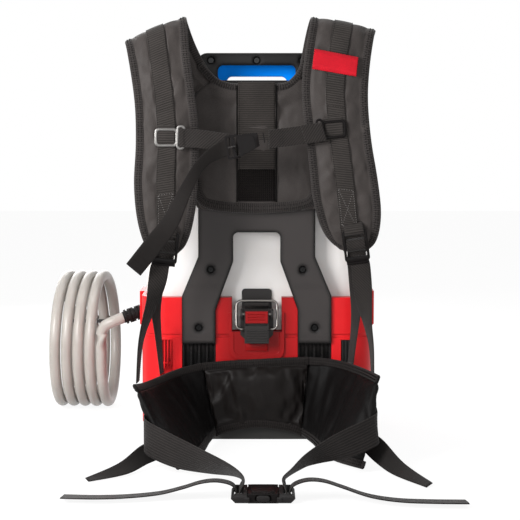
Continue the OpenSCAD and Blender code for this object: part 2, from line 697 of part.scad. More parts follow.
// Latch: bracket, pin, lever, wire bail and lock
module latch_bracket() seat() color(black) difference() {
    union() {
        slab(bracket_back - bracket_t, bracket_back)
            polygon(rounded(both([[bracket_w / 2, pivot_z + 7, 4], [bracket_w / 2, 138, 8]])));
        both_sides() across(bracket_w / 2 - cheek_t, bracket_w / 2) union() {
            translate([pivot_y, pivot_z]) circle(cheek_r - 1);
            polygon([[pivot_y, pivot_z - cheek_r + 1], [bracket_back - 1, pivot_z - cheek_r - 3],
                [bracket_back - 1, pivot_z + 7], [pivot_y, pivot_z + cheek_r - 1]]);
        }
    }
    rod_x(pivot_y, pivot_z, -bracket_w, bracket_w, pin_r + run);
}
module latch_pin() seat() color(steel) {
    rod_x(pivot_y, pivot_z, -bracket_w / 2 - 1, bracket_w / 2 + 1, pin_r);
}
module latch_lever() seat() color(black) difference() {
    union() {
        across(-lever_w / 2, lever_w / 2) union() {
            translate([pivot_y, pivot_z]) circle(7);
            polygon([[lever_front, pivot_z + 2], [pivot_y, pivot_z + 7],
                [lever_back, pivot_z + 2.5], [lever_back, pivot_z - 36],
                [lever_front + 7, pivot_z - lever_l], [lever_front, pivot_z - lever_l]]);
        }
        for (k = [0:4]) box(-lever_w / 2 + 2, lever_w / 2 - 2, lever_front - 1.5,
            lever_front + 1, pivot_z - lever_l + 4 + 3.8 * k, pivot_z - lever_l + 5.8 + 3.8 * k);
    }
    rod_x(pivot_y, pivot_z, -lever_w, lever_w, pin_r + run);
    both_sides() rod_x(bail_y, bail_z, lever_w / 2 - 6, lever_w, bail_r + run);
    box(-lock_w / 2 - run, lock_w / 2 + run, lever_front - 2, lever_front + lock_d,
        lock_z - lock_travel - gap, lock_z + lock_h + run);
}
module latch_lock() seat() color(red) difference() {
    box(-lock_w / 2, lock_w / 2, lever_front - 1.5, lever_front + lock_d - gap,
        lock_z, lock_z + lock_h);
    for (k = [0:2]) box(-lock_w / 2 + 4, lock_w / 2 - 4, lever_front - 3, lever_front - 0.7,
        lock_z + 4 + 4 * k, lock_z + 5.5 + 4 * k);
}
// A bend of radius r at corner c, from direction u into direction v
function bend_at(c, u, v, r, n = 4) = [for (k = [0:n])
    c + (v - u) * r + r * (u * sin(90 * k / n) - v * cos(90 * k / n))];
module latch_bail() seat() color(steel) {
    low = [bail_w / 2, bail_y, bail_z];
    top = [bail_w / 2, hook_y, hook_z];
    rise = unit(top - low);
    side = [1, 0, 0];
    half = concat([[lever_w / 2 - 5, bail_y, bail_z]], bend_at(low, side, rise, 3),
        bend_at(top, rise, -side, 5));
    tube(concat(half, [for (k = [len(half) - 1:-1:0]) [-half[k].x, half[k].y, half[k].z]]),
        bail_r, 12);
}

// Tank
module tank_form(d) {
    intersection() {
        level(tank_z + d, tank_top - d) tank_plan(d);
        slab(0, 300) upright_outline(tank_w - 2 * d, tank_z + d, tank_top - d,
            tank_low_r - d, tank_top_r - d);
        across(-base_w, base_w) translate([tank_mid_y, 0])
            upright_outline(tank_d - 2 * d, tank_z + d, tank_top - d, 16 - d, 30 - d);
    }
    level(sump_z + gap + d, tank_z + 30) sump_plan(d);
}
module tank_shell() seat() color(milk) difference() {
    union() {
        tank_form(0);
        translate([0, neck_y, tank_top - 10]) cylinder(h = neck_h + 10, r = neck_r);
        both_sides() box(handle_w / 2 - handle_leg - 2, handle_w / 2 + 2, handle_front - 1,
            handle_back + 1, tank_top - 20, handle_foot_z);
    }
    tank_form(tank_wall);
    translate([0, neck_y, tank_top - 20])
        cylinder(h = neck_h + 30, r = neck_r - neck_wall - ledge_w);
    translate([0, neck_y, ledge_z]) cylinder(h = neck_h, r = neck_r - neck_wall);
    translate([0, valve_y, 0]) cylinder(h = tank_z, r = valve_r + run);
}
module tank_keeper() seat() color(black) {
    slab(tank_front - gap - 3, tank_front - gap)
        polygon(rounded(both([[23, rim_z + 12, 5], [23, rim_z - 21, 3]])));
    across(-18, 18) polygon([[tank_front - gap - 1, hook_z - 2 * bail_r - 10],
        [hook_y + 2, hook_z - bail_r - 9], [hook_y - 7, hook_z - bail_r - 5],
        [hook_y - 8, hook_z - bail_r - gap], [tank_front - gap - 1, hook_z - bail_r - gap]]);
}
module tank_handle() seat() color(blue) slab(handle_front, handle_back) difference() {
    polygon(rounded(both([[handle_w / 2, handle_top, 12],
        [handle_w / 2, handle_foot_z + gap, 0]])));
    polygon(rounded(both([[handle_w / 2 - handle_leg, handle_top - handle_bar, 8],
        [handle_w / 2 - handle_leg, handle_foot_z - 1, 0]])));
}
module fill_cap() seat() color(black) translate([0, neck_y, 0]) difference() {
    outer = neck_r + gap + cap_wall;
    top = cap_z + cap_top_h;
    low = tank_top + 4;
    union() {
        translate([0, 0, low]) cylinder(h = top - 3 - low, r = outer);
        translate([0, 0, top - 3]) cylinder(h = 3, r1 = outer, r2 = outer - 3);
        for (k = [0:cap_ribs - 1]) rotate((k + 0.5) * 360 / cap_ribs)
            translate([outer - 1, 0, low + 1]) cylinder(h = top - 5 - low, r = 3);
    }
    translate([0, 0, low - 1]) cylinder(h = cap_z - low + 1, r = neck_r + gap);
    translate([0, 0, top - 4]) difference() {
        cylinder(h = 8, r = outer - 10);
        box(-outer, outer, -7, 7, -1, 8);
    }
}
module cap_gasket() seat() color(deep_black) translate([0, neck_y, neck_top + gap]) difference() {
    cylinder(h = gasket_h, r = neck_r - 1);
    translate([0, 0, -1]) cylinder(h = gasket_h + 2, r = neck_r - neck_wall - 6);
}
strainer_slots = 12;
module fill_strainer() seat() color(black) translate([0, neck_y, ledge_z]) difference() {
    union() {
        translate([0, 0, gap]) cylinder(h = neck_top - ledge_z - gap, r = neck_r - neck_wall - gap);
        translate([0, 0, -strainer_h]) cylinder(h = strainer_h + 1, r = strainer_r);
    }
    translate([0, 0, 2 - strainer_h]) cylinder(h = strainer_h + 20, r = strainer_r - 2);
    for (k = [0:strainer_slots - 1]) rotate(k * 360 / strainer_slots)
        box(0, strainer_r + 1, -5, 5, 8 - strainer_h, -8);
}
module tank_valve() seat() color(black) translate([0, valve_y, 0]) {
    seat_z = sump_z + gap + tank_wall;
    difference() {
        union() {
            translate([0, 0, sump_z - 12]) cylinder(h = seat_z - sump_z + 14, r = valve_r);
            translate([0, 0, seat_z + gap]) cylinder(h = 3, r = valve_r + 5);
        }
        translate([0, 0, sump_z - 13]) cylinder(h = 30, r = 4.5);
    }
}
module valve_socket() seat() color(deep_black) translate([0, valve_y, 0]) difference() {
    union() {
        translate([0, 0, sump_z - 20]) cylinder(h = 20 - gap, r = valve_r + 4 - run);
        translate([0, 0, sump_z - 20]) cylinder(h = 20 - base_wall - gap, r = valve_r + 9);
        translate([0, 0, sump_z - 42]) cylinder(h = 24, r = 6);
    }
    translate([0, 0, sump_z - 16]) cylinder(h = 30, r = valve_r + run);
    translate([0, 0, sump_z - 43]) cylinder(h = 40, r = 4);
}

// Pump, motor, battery and controls
module pump_head() seat() color(deep_black) difference() {
    union() {
        translate([pump_x, motor_y - pump_w / 2, motor_z - pump_w / 2])
            cube([pump_w, pump_w, pump_w]);
        for (x = [12, pump_w - 12]) translate([pump_x + x, motor_y, motor_z])
            cylinder(h = pump_w / 2 + 18, r = 6);
    }
    for (x = [12, pump_w - 12]) translate([pump_x + x, motor_y, motor_z + 10])
        cylinder(h = pump_w, r = 4);
    rod_x(motor_y, motor_z, pump_x - 1, pump_x + 26, motor_shaft_r + run);
    for (y = [-1, 1], z = [-1, 1]) rod_x(motor_y + y * 23, motor_z + z * 23, pump_x + 40,
        pump_x + pump_w + 1, 2.5);
}
module pump_motor() seat() color(steel) difference() {
    rod_x(motor_y, motor_z, motor_x - motor_l / 2, motor_x + motor_l / 2, motor_r);
    rod_x(motor_y, motor_z, motor_x - motor_l / 2 + 4, motor_x + motor_l / 2 - 4, motor_r - 4);
    rod_x(motor_y, motor_z, motor_x - motor_l, motor_x + motor_l, motor_shaft_r + run);
}
module motor_rotor() seat() color(steel) {
    rod_x(motor_y, motor_z, motor_x - 26, motor_x + 26, motor_r - 6);
    rod_x(motor_y, motor_z, motor_x - motor_l / 2 - 5, pump_x + 24, motor_shaft_r);
}
module control_board() seat() color([0.1, 0.4, 0.2])
    box(board_x, board_x + board_w, board_y, board_y + 1.6, board_z, board_z + board_h);
module battery_pack() seat() color(black) {
    box(battery_x, battery_x + battery_w, battery_y, battery_y + battery_l, battery_z,
        battery_z + 44);
    box(battery_x + 8, battery_x + battery_w - 8, battery_y, battery_y + battery_l - 24,
        battery_z + 43, battery_z + battery_h);
}
module battery_door() seat() color(black) difference() {
    knuckle_in = 20;
    union() {
        box(door_x, door_x + door_w, base_back - base_wall, base_back, door_z, door_z + door_h);
        box(door_x + knuckle_in, door_x + door_w - knuckle_in, base_back - 1, hinge_y + 1,
            door_z, door_z + 4);
        rod_x(hinge_y, hinge_z, door_x + knuckle_in, door_x + door_w - knuckle_in, knuckle_r);
        box(door_x + door_w / 2 - 18, door_x + door_w / 2 + 18, base_back - 1, base_back + 3,
            door_z + door_h - 14, door_z + door_h - 10);
    }
    rod_x(hinge_y, hinge_z, door_x - 5, door_x + door_w + 5, hinge_pin_r + run);
    for (k = [0:5]) box(door_x + 14, door_x + door_w - 14, base_back - 0.8, base_back + 1,
        door_z + 16 + 7 * k, door_z + 18 + 7 * k);
}
module door_hinge_pin() seat() color(steel)
    rod_x(hinge_y, hinge_z, door_x + 6, door_x + door_w - 6, hinge_pin_r);
module pressure_dial() seat() color(black) {
    difference() {
        union() {
            rod_y(dial_x, dial_z, base_back + gap, base_back + 10, dial_r);
            for (k = [0:11]) translate([dial_x, 0, dial_z]) rotate([0, k * 30, 0])
                translate([dial_r, 0, 0]) rod_y(0, 0, base_back + 1, base_back + 10, 1.5);
        }
        box(dial_x - 1, dial_x + 1, base_back + 9, base_back + 12, dial_z + 4, dial_z + dial_r);
    }
    rod_y(dial_x, dial_z, board_y + 1.6 + gap, base_back + 1, shaft_r);
}
module power_button() seat() color(red) {
    rod_y(button_x, dial_z, board_y + 5, base_back + 3, button_r);
}

// Hose and its outlet
module outlet_fitting() seat() color(deep_black) along_outlet(0) difference() {
    union() {
        translate([0, 0, -16]) cylinder(h = 16 + ferrule_l, r = ferrule_r);
        translate([0, 0, -14 - 3 - gap]) cylinder(h = 3, r = ferrule_r + 0.7);
        translate([0, 0, -32]) cylinder(h = 20, r = 6);
    }
    translate([0, 0, -33]) cylinder(h = 60, r = 4);
}
module strain_relief() seat() color(black) along_outlet(ferrule_l + gap) {
    rings = 7;
    step = boot_l / rings;
    core_r = hose_od / 2;
    cylinder(h = boot_l, r = core_r);
    for (k = [0:rings - 1]) translate([0, 0, k * step]) cylinder(h = step * 0.55, r = boot_r);
    for (k = [0:rings - 2], s = [0, 1]) translate([0, 0, (k + 0.5) * step])
        rotate(90 * k + 180 * s) translate([core_r - 1, -4, 0])
        cube([boot_r - core_r + 0.6, 8, step * 0.6]);
}
function coil_point(a, r = coil_r) = coil_mid
    + r * (cos(a) * coil_out + sin(a) * [0, 0, 1])
    - coil_axis * coil_pitch * (a - coil_start) / 360;
function coil_tangent(a) = unit(coil_point(a + 0.5) - coil_point(a - 0.5));
function coil_out_at(a) = cos(a) * coil_out + sin(a) * [0, 0, 1];
function ring_at(p, u, v, r, sides) = [for (k = [0:sides - 1])
    p + r * (u * cos(360 * k / sides) + v * sin(360 * k / sides))];
coil_steps = ceil((coil_end - coil_start) / 360 * coil_rings);
coil_angles = [for (k = [0:coil_steps]) coil_start + (coil_end - coil_start) * k / coil_steps];
coil_in = coil_point(coil_start) - coil_tangent(coil_start) * hose_od;
coil_tip = coil_point(coil_end) + coil_tangent(coil_end) * hose_od;
coil_line = concat([coil_in], [for (a = coil_angles) coil_point(a)], [coil_tip]);
coil_ring_angles = concat([coil_start], coil_angles, [coil_end]);
// Least gap between one turn and any point at least half a turn further on
coil_gap = min([for (i = [0:4:len(coil_line) - 1]) for (j = [i + 12:len(coil_line) - 1])
    norm(coil_line[i] - coil_line[j])]) - hose_od;
echo(least_gap_between_hose_turns = coil_gap);
echo(hose_tip = coil_tip - [0, mid_y, 0], hose_tip_way = coil_tangent(coil_end));
echo(hose_length = sum_of(coil_line) + norm(coil_in - boot_end));
function sum_of(p) = [for (i = [1:len(p) - 1]) norm(p[i] - p[i - 1])] * [for (i = [1:len(p) - 1]) 1];
module hose_coil() seat() color(hose_grey) loft([for (i = [0:len(coil_line) - 1])
    let (a = coil_ring_angles[i], t = coil_tangent(a), u = coil_out_at(a))
    ring_at(coil_line[i], u, cross(t, u), hose_od / 2, coil_sides)]);
lead_points = [boot_end, boot_end + outlet_v * 6, [-239, 208, 158], [-250, 210.5, 152],
    coil_in - coil_tangent(coil_start) * 5, coil_in];
module hose_lead() seat() color(hose_grey) tube(lead_points, hose_od / 2, 12);
module around_coil(a) {
    translate(coil_point(a)) rotate([0, 0, coil_yaw]) rotate([a, 0, 0]) children();
}
module hose_tie() seat() color(deep_black) {
    first = coil_start + 180 + tie_angle;
    half = 2 * coil_pitch + hose_od / 2 + tie_gap;
    thick = hose_od / 2 + tie_gap;
    around_coil(first + 720) level(-tie_h / 2, tie_h / 2) difference() {
        round_rect(2 * half + 2 * tie_t, 2 * thick + 2 * tie_t, thick);
        round_rect(2 * half, 2 * thick, thick - 0.5);
    }
}
module hose_coupling() seat() color(deep_black) {
    t = coil_tangent(coil_end);
    translate(coil_tip) rotate([0, acos(t.z), atan2(t.y, t.x)]) difference() {
        union() {
            cylinder(h = coupling_l, r = coupling_r - 1.5);
            for (z = [0, coupling_l - 12]) translate([0, 0, z]) cylinder(h = 10, r = coupling_r);
        }
        translate([0, 0, 12]) cylinder(h = coupling_l, r = 4);
    }
}

// Harness: back yoke and shoulder straps
module back_yoke() seat() color(cloth) {
    half = yoke_side;
    pad([for (p = half) [-p.x, yoke_y, p.y]], [for (p = half) [p.x, yoke_y, p.y]], yoke_t, 1);
}
yoke_front = yoke_y - yoke_t / 2;
module yoke_webbing() seat() color(web_black) {
    box(-yoke_web / 2, yoke_web / 2, yoke_front - web_gap - web_t, yoke_front - web_gap,
        patch_top, yoke_web_top);
}
module loop_patch() seat() color(deep_black) {
    box(-yoke_web / 2, yoke_web / 2, yoke_front - web_gap - web_t, yoke_front - web_gap,
        patch_z, patch_top - gap);
}
module shoulder_strap_left() seat() color(cloth) pad(left_outer, left_inner, pad_t, pad_steps);
module shoulder_strap_right() seat() color(cloth) pad(right_outer, right_inner, pad_t, pad_steps);
module shoulder_webbing_left() seat() color(web_black)
    band_on_pad(left_outer, left_inner, web_first, shoulder_web, -1);
module shoulder_webbing_right() seat() color(web_black)
    band_on_pad(right_outer, right_inner, web_first, shoulder_web, 1);
module ladder_lock(p, lean) {
    w = shoulder_web + 6;
    translate(p) rotate([0, lean, 0]) {
        box(-w / 2, w / 2, -3, 3, 18, 22);
        box(-w / 2, w / 2, -3, 3, -22, -18);
        box(-w / 2, w / 2, -4, 1, -3, 3);
        both_sides() box(w / 2 - 3.5, w / 2, -3, 3, -22, 22);
    }
}
module ladder_lock_left() seat() color(deep_black) ladder_lock([-134, -85.6, 302], 6);
module ladder_lock_right() seat() color(deep_black) ladder_lock([146, -85.0, 305], -8);
// A strap of width w that turns on its way down
module turning_band(p, w, n = 3) {
    band([for (q = p) [q.x, q.y, q.z] + [cos(q[3]), sin(q[3]), 0] * w / 2],
        [for (q = p) [q.x, q.y, q.z] - [cos(q[3]), sin(q[3]), 0] * w / 2], web_t, n);
}
module lower_webbing_left() seat() color(web_black) {
    turning_band(left_anchor_web, 22);
    turning_band(left_wing_web, shoulder_web);
}
module lower_webbing_right() seat() color(web_black) {
    turning_band(right_anchor_web, 22);
    turning_band(right_wing_web, shoulder_web);
}
module sternum_strap_left() seat() color(web_black)
    band(shifted(sternum_left, [0, 0, 12]), shifted(sternum_left, [0, 0, -12]));
module sternum_strap_right() seat() color(web_black)
    band(shifted(sternum_right, [0, 0, 12]), shifted(sternum_right, [0, 0, -12]));
module sternum_tail() seat() color(web_black) band(tail_a, tail_b);
module ring_frame(p, w, h, t, lean) {
    translate(p) rotate([0, lean, 0]) slab(-t / 2, t / 2) difference() {
        round_rect(w, h, 3);
        round_rect(w - 2 * t, h - 2 * t, 1.5);
    }
}
module sternum_fittings() seat() color(steel) {
    ring_frame([-133, -85.8, 468], 38, 28, 3, 4);
    ring_frame([112, -85, 479], 36, 26, 3, -6);
}
module sternum_buckle() seat() color(deep_black) {
    translate([-15, -96, 459]) rotate([0, -8, 0]) {
        slab(-5, 5) round_rect(44, 30, 5);
        slab(-4, 4) translate([26, 0]) square([16, 26], center = true);
    }
}

// Harness: lumbar pad, hip wings and waist belt
module lumbar_pad() seat() color(cloth) pad(lumbar_top, lumbar_low);
module hip_wing_left() seat() color(cloth) pad(left_wing_top, left_wing_low);
module hip_wing_right() seat() color(cloth) pad(right_wing_top, right_wing_low);
module waist_webbing_left() seat() color(web_black) band(left_waist_a, left_waist_b);
module waist_webbing_right() seat() color(web_black) band(right_waist_a, right_waist_b);
module waist_buckle() seat() color(deep_black) translate([9, -419, 0.5]) {
    level(0, 13) round_rect(44, 62, 8);
    for (s = [-1, 1]) translate([s * 31, 0, 0]) difference() {
        level(1, 12) round_rect(20, 66, 6);
        level(0, 13) translate([s * 2, 0]) square([9, waist_web + 4], center = true);
    }
}
module flat_band(p, w) {
    edge = [0, w / 2, -tail_lean];
    band(shifted(p, edge), shifted(p, -edge));
}
module waist_tails() seat() color(web_black) {
    flat_band(left_tail, waist_web);
    flat_band(right_tail, waist_web);
}
module wing_tails() seat() color(web_black) {
    band(left_wing_tail_a, left_wing_tail_b);
    band(right_wing_tail_a, right_wing_tail_b);
}

base_shell();
base_tray();
harness_frame();
frame_rear_cover();
frame_screws();
strap_anchor_left();
strap_anchor_right();
latch_bracket();
latch_pin();
latch_lever();
latch_bail();
latch_lock();
tank_shell();
tank_keeper();
tank_handle();
fill_cap();
cap_gasket();
fill_strainer();
tank_valve();
valve_socket();
pump_head();
pump_motor();
motor_rotor();
control_board();
battery_pack();
battery_door();
door_hinge_pin();
pressure_dial();
power_button();
outlet_fitting();
strain_relief();
hose_lead();
hose_coil();
hose_tie();
hose_coupling();
back_yoke();
yoke_webbing();
loop_patch();
shoulder_strap_left();
shoulder_strap_right();
shoulder_webbing_left();
shoulder_webbing_right();
ladder_lock_left();
ladder_lock_right();
lower_webbing_left();
lower_webbing_right();
sternum_strap_left();
sternum_strap_right();
sternum_tail();
sternum_fittings();
sternum_buckle();
lumbar_pad();
hip_wing_left();
hip_wing_right();
waist_webbing_left();
waist_webbing_right();
waist_buckle();
waist_tails();
wing_tails();
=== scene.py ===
import math
import bmesh
import bpy
import numpy as np
from mathutils import Matrix, Vector


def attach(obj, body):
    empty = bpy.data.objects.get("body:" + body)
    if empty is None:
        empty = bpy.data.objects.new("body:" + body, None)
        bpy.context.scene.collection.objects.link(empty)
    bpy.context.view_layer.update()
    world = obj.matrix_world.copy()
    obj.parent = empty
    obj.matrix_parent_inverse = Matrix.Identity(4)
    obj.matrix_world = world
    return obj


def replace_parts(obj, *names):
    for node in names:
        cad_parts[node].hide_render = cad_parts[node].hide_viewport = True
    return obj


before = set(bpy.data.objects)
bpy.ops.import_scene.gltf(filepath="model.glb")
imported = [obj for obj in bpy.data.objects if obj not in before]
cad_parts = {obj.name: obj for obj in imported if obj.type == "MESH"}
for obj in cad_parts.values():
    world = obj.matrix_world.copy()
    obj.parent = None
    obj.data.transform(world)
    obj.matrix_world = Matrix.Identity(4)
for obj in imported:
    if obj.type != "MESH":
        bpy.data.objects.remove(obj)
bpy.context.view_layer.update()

# ---------------------------------------------------------------- Camera, floor and light
# A studio table: a pale floor, a white surround and five soft lamps, of which the brightest stands
# at the upper left. The camera is 2.6 m in front, a little above the sprayer's middle.
MID_Y = 0.127
FLOOR_SIDE = 14
FLOOR_GLOW, GLOW_SHARE = 1.08, 0.84
SURROUND_LIGHT = 0.30


def at(x, y, z):
    """A point in millimetres from the carry frame's front face and the floor."""
    return Vector((x / 1000, y / 1000 - MID_Y, z / 1000))


def aim(thing, target):
    thing.rotation_euler = (target - thing.location).to_track_quat("-Z", "Y").to_euler()


camera_data = bpy.data.cameras.new("camera")
camera_data.lens = 118.6
camera = bpy.data.objects.new("camera", camera_data)
bpy.context.scene.collection.objects.link(camera)
camera.location = at(5, -2600, 480)
aim(camera, at(5, 0, 276.9))
bpy.context.scene.camera = camera
bpy.context.scene.view_settings.view_transform = "Standard"


def lamp(name, place, target, size, watts):
    data = bpy.data.lights.new(name, "AREA")
    data.shape = "RECTANGLE"
    data.size, data.size_y = size
    data.energy = watts
    lit = bpy.data.objects.new(name, data)
    bpy.context.scene.collection.objects.link(lit)
    lit.location = place
    aim(lit, target)


middle = at(0, 80, 300)
lamp("key_lamp", at(-1150, -1150, 850), middle, (0.7, 0.7), 45)
lamp("fill_lamp", at(1700, -1500, 800), middle, (0.9, 1.4), 7)
lamp("front_lamp", at(150, -2700, 620), middle, (0.8, 0.8), 12)
lamp("top_lamp", at(0, 100, 2000), middle, (1.4, 1.0), 10)
lamp("rear_lamp", at(-600, 1700, 900), middle, (1.2, 1.2), 14)


class Term:
    """A shader value that takes part in plain arithmetic."""

    def __init__(self, finish, socket):
        self.finish, self.socket = finish, socket

    def _math(self, operation, a, b):
        return self.finish.node("Math", {0: a, 1: b}, operation=operation)

    def __add__(self, other):
        return self._math("ADD", self, other)

    def __rsub__(self, other):
        return self._math("SUBTRACT", other, self)

    def __mul__(self, other):
        return self._math("MULTIPLY", self, other)

    def output(self, index):
        """Another output of the node that this value comes from."""
        return Term(self.finish, self.socket.node.outputs[index])


class Finish:
    """A material, with its Principled shader and one method that adds any other node."""

    def __init__(self, name, **constants):
        self.material = bpy.data.materials.new(name)
        self.material.use_nodes = True
        self.tree = self.material.node_tree
        self.tree.nodes.clear()
        self.shader = self.tree.nodes.new("ShaderNodeBsdfPrincipled")
        self.end = self.tree.nodes.new("ShaderNodeOutputMaterial")
        self.tree.links.new(self.shader.outputs[0], self.end.inputs[0])
        self.set(**constants)

    def plug(self, target, value):
        if isinstance(value, Term):
            self.tree.links.new(value.socket, target)
        elif isinstance(value, tuple) and len(value) == 3 and target.type == "RGBA":
            target.default_value = (*value, 1)
        else:
            target.default_value = value

    def set(self, **sockets):
        for name, value in sockets.items():
            self.plug(self.shader.inputs[name.replace("_", " ")], value)

    def node(self, kind, sockets=None, out=0, stops=None, **settings):
        made = self.tree.nodes.new("ShaderNode" + kind)
        for name, value in settings.items():
            setattr(made, name, value)
        if stops:
            ramp = made.color_ramp
            while len(ramp.elements) < len(stops):
                ramp.elements.new(0.5)
            for element, (place, shade) in zip(ramp.elements, stops):
                element.position = place
                element.color = (shade, shade, shade, 1)
        for key, value in (sockets or {}).items():
            self.plug(made.inputs[key], value)
        return Term(self, made.outputs[out])

    def place(self, scale=(1, 1, 1), turn=(0, 0, 0), uv=False):
        """Object coordinates, or the piece's own map in metres along and across the cloth."""
        source = self.node("TexCoord", out=2 if uv else 3)
        return self.node("Mapping", {0: source, 2: turn, 3: scale})

    def noise(self, scale, detail=2.0, rough=0.5, where=None):
        return self.node("TexNoise", {"Vector": where or self.place(), "Scale": scale,
                                      "Detail": detail, "Roughness": rough})

    def ramp(self, value, *stops):
        return self.node("ValToRGB", {0: value}, stops=stops)

    def mix(self, share, a, b):
        return self.node("Mix", {0: share, 6: a, 7: b}, out=2, data_type="RGBA")

    def bump(self, height, strength, depth, normal=None):
        sockets = {"Height": height, "Strength": strength, "Distance": depth}
        if normal:
            sockets["Normal"] = normal
        return self.node("Bump", sockets)


floor_finish = Finish("pale_floor", Base_Color=(0.8, 0.8, 0.8), Roughness=0.6)
ray = floor_finish.node("LightPath")
seen = floor_finish.node("Math", {0: ray, 1: ray.output(3)}, operation="MAXIMUM")
glow = floor_finish.node("Emission", {0: (1, 1, 1), 1: FLOOR_GLOW})
cover = floor_finish.node("MixShader", {0: seen * GLOW_SHARE,
                                        1: Term(floor_finish, floor_finish.shader.outputs[0]),
                                        2: glow})
floor_finish.tree.links.new(cover.socket, floor_finish.end.inputs[0])
bpy.ops.mesh.primitive_plane_add(size=FLOOR_SIDE, location=(0, 0, 0))
floor = bpy.context.object
floor.name = "floor"
floor.data.materials.append(floor_finish.material)

world = bpy.data.worlds.new("surround")
bpy.context.scene.world = world
world.use_nodes = True
nodes, link = world.node_tree.nodes, world.node_tree.links.new
nodes["Background"].inputs[0].default_value = (1, 1, 1, 1)
paths = nodes.new("ShaderNodeLightPath")
shown = paths.outputs["Is Camera Ray"]
for ray_kind in ("Is Glossy Ray", "Is Transmission Ray"):
    either = nodes.new("ShaderNodeMath")
    either.operation = "MAXIMUM"
    link(shown, either.inputs[0])
    link(paths.outputs[ray_kind], either.inputs[1])
    shown = either.outputs[0]
lit_by = nodes.new("ShaderNodeMapRange")
link(shown, lit_by.inputs["Value"])
lit_by.inputs["To Min"].default_value = SURROUND_LIGHT
lit_by.inputs["To Max"].default_value = 1.0
link(lit_by.outputs[0], nodes["Background"].inputs[1])

# ---------------------------------------------------------------- Outlet hose
# Clear grey vinyl hose, 19 mm outside. It leaves the boot at the base's left side, drops behind it
# and stands in a coil of four and a half turns, held by a flat tie. One tube, 3.17 m long with
# the ends that go into the boot and the coupling.
HOSE = 0.019
HOSE_SIDES, COIL_STATIONS = 20, 328
BOOT_REACH, COIL_EASE = 50.3, 19


def spline(points, steps):
    """A smooth line through points, with steps to each span."""
    p = np.array(points, float)
    n = len(p)
    rows = []
    for i in range(n - 1):
        a, b, c, d = p[max(i - 1, 0)], p[i], p[i + 1], p[min(i + 2, n - 1)]
        for t in np.arange(steps) / steps:
            rows.append(0.5 * (2 * b + (c - a) * t + (2 * a - 5 * b + 4 * c - d) * t * t
                               + (3 * b - a - 3 * c + d) * t ** 3))
    rows.append(p[-1])
    return np.array(rows)


def unit(v):
    v = np.array(v, float)
    return v / np.maximum(np.linalg.norm(v, axis=-1, keepdims=True), 1e-12)


def tangents(p):
    d = np.empty_like(p)
    d[1:-1] = p[2:] - p[:-2]
    d[0], d[-1] = p[1] - p[0], p[-1] - p[-2]
    return unit(d)


def piece(name, points, faces, maps=None, finish=None):
    """A mesh object at the origin. maps gives each corner's place on the cloth, in metres."""
    mesh = bpy.data.meshes.new(name)
    mesh.from_pydata([tuple(p) for p in points], [], [tuple(f) for f in faces])
    if maps is not None:
        layer = mesh.uv_layers.new(name="cloth")
        layer.data.foreach_set("uv", np.array(maps, float).ravel())
    mesh.shade_smooth()
    if finish:
        mesh.materials.append(finish.material)
    made = bpy.data.objects.new(name, mesh)
    bpy.context.scene.collection.objects.link(made)
    return made


def shell(name, rings, along, around, finish=None):
    """A closed skin through rings of points; along and around are distances for its map."""
    rings = np.array(rings, float)
    m, n = rings.shape[:2]
    faces, maps = [], []
    for i in range(m - 1):
        for j in range(n):
            k = (j + 1) % n
            faces.append((i * n + j, (i + 1) * n + j, (i + 1) * n + k, i * n + k))
            maps += [(around[j], along[i]), (around[j], along[i + 1]),
                     (around[j + 1], along[i + 1]), (around[j + 1], along[i])]
    for i, ring in ((0, range(n)), (m - 1, range(n - 1, -1, -1))):
        faces.append([i * n + j for j in ring])
        maps += [(around[j], along[i]) for j in ring]
    made = piece(name, rings.reshape(-1, 3), faces, maps, finish)
    bm = bmesh.new()
    bm.from_mesh(made.data)
    bmesh.ops.recalc_face_normals(bm, faces=bm.faces)
    bm.to_mesh(made.data)
    bm.free()
    return made


def lengths(p):
    return np.concatenate([[0], np.cumsum(np.linalg.norm(np.diff(p, axis=0), axis=1))])


def round_tube(name, path, radius, sides, up, finish):
    t = tangents(path)
    u = unit(np.cross(up, t))
    v = np.cross(t, u)
    turn = np.arange(sides) * 2 * math.pi / sides
    rings = (path[:, None] + radius * (u[:, None] * np.cos(turn)[None, :, None]
                                       + v[:, None] * np.sin(turn)[None, :, None]))
    around = np.arange(sides + 1) * 2 * math.pi * radius / sides
    return shell(name, rings, lengths(path), around, finish)


vinyl = Finish("clear_grey_vinyl", Roughness=0.34, Subsurface_Weight=0.35, Subsurface_Scale=0.01,
               Subsurface_Radius=(1.0, 0.9, 0.8), Coat_Weight=0.1, Coat_Roughness=0.18,
               Specular_IOR_Level=0.3)
cloud = vinyl.noise(9, 3, 0.6)
streak = vinyl.noise(1, 2, 0.5, vinyl.place(scale=(140, 1.6, 1), uv=True))
vinyl.set(Base_Color=vinyl.mix(vinyl.ramp(cloud * 0.6 + streak * 0.4, (0.35, 0), (0.65, 1)),
                               (0.29, 0.268, 0.245), (0.37, 0.35, 0.325)),
          Normal=vinyl.bump(streak, 0.25, 0.0006))

outlet = np.array([-173, 218, 181.0])
outlet_way = unit([-42, -7, -14])
boot_end = outlet + outlet_way * BOOT_REACH
COIL_R, COIL_PITCH, COIL_START, COIL_END = 107.5, 19.6, 180, 1820
yaw = math.radians(-4)
coil_axis = np.array([math.cos(yaw), math.sin(yaw), 0])
coil_out = np.array([-math.sin(yaw), math.cos(yaw), 0])
coil_middle = np.array([-257 + COIL_R * coil_out[0], 322, COIL_R + 10.0])


def coil_point(angle):
    a = math.radians(angle)
    return (coil_middle + COIL_R * (math.cos(a) * coil_out + math.sin(a) * np.array([0, 0, 1]))
            - coil_axis * COIL_PITCH * (angle - COIL_START) / 360)


def coil_way(angle):
    return unit(coil_point(angle + 0.5) - coil_point(angle - 0.5))


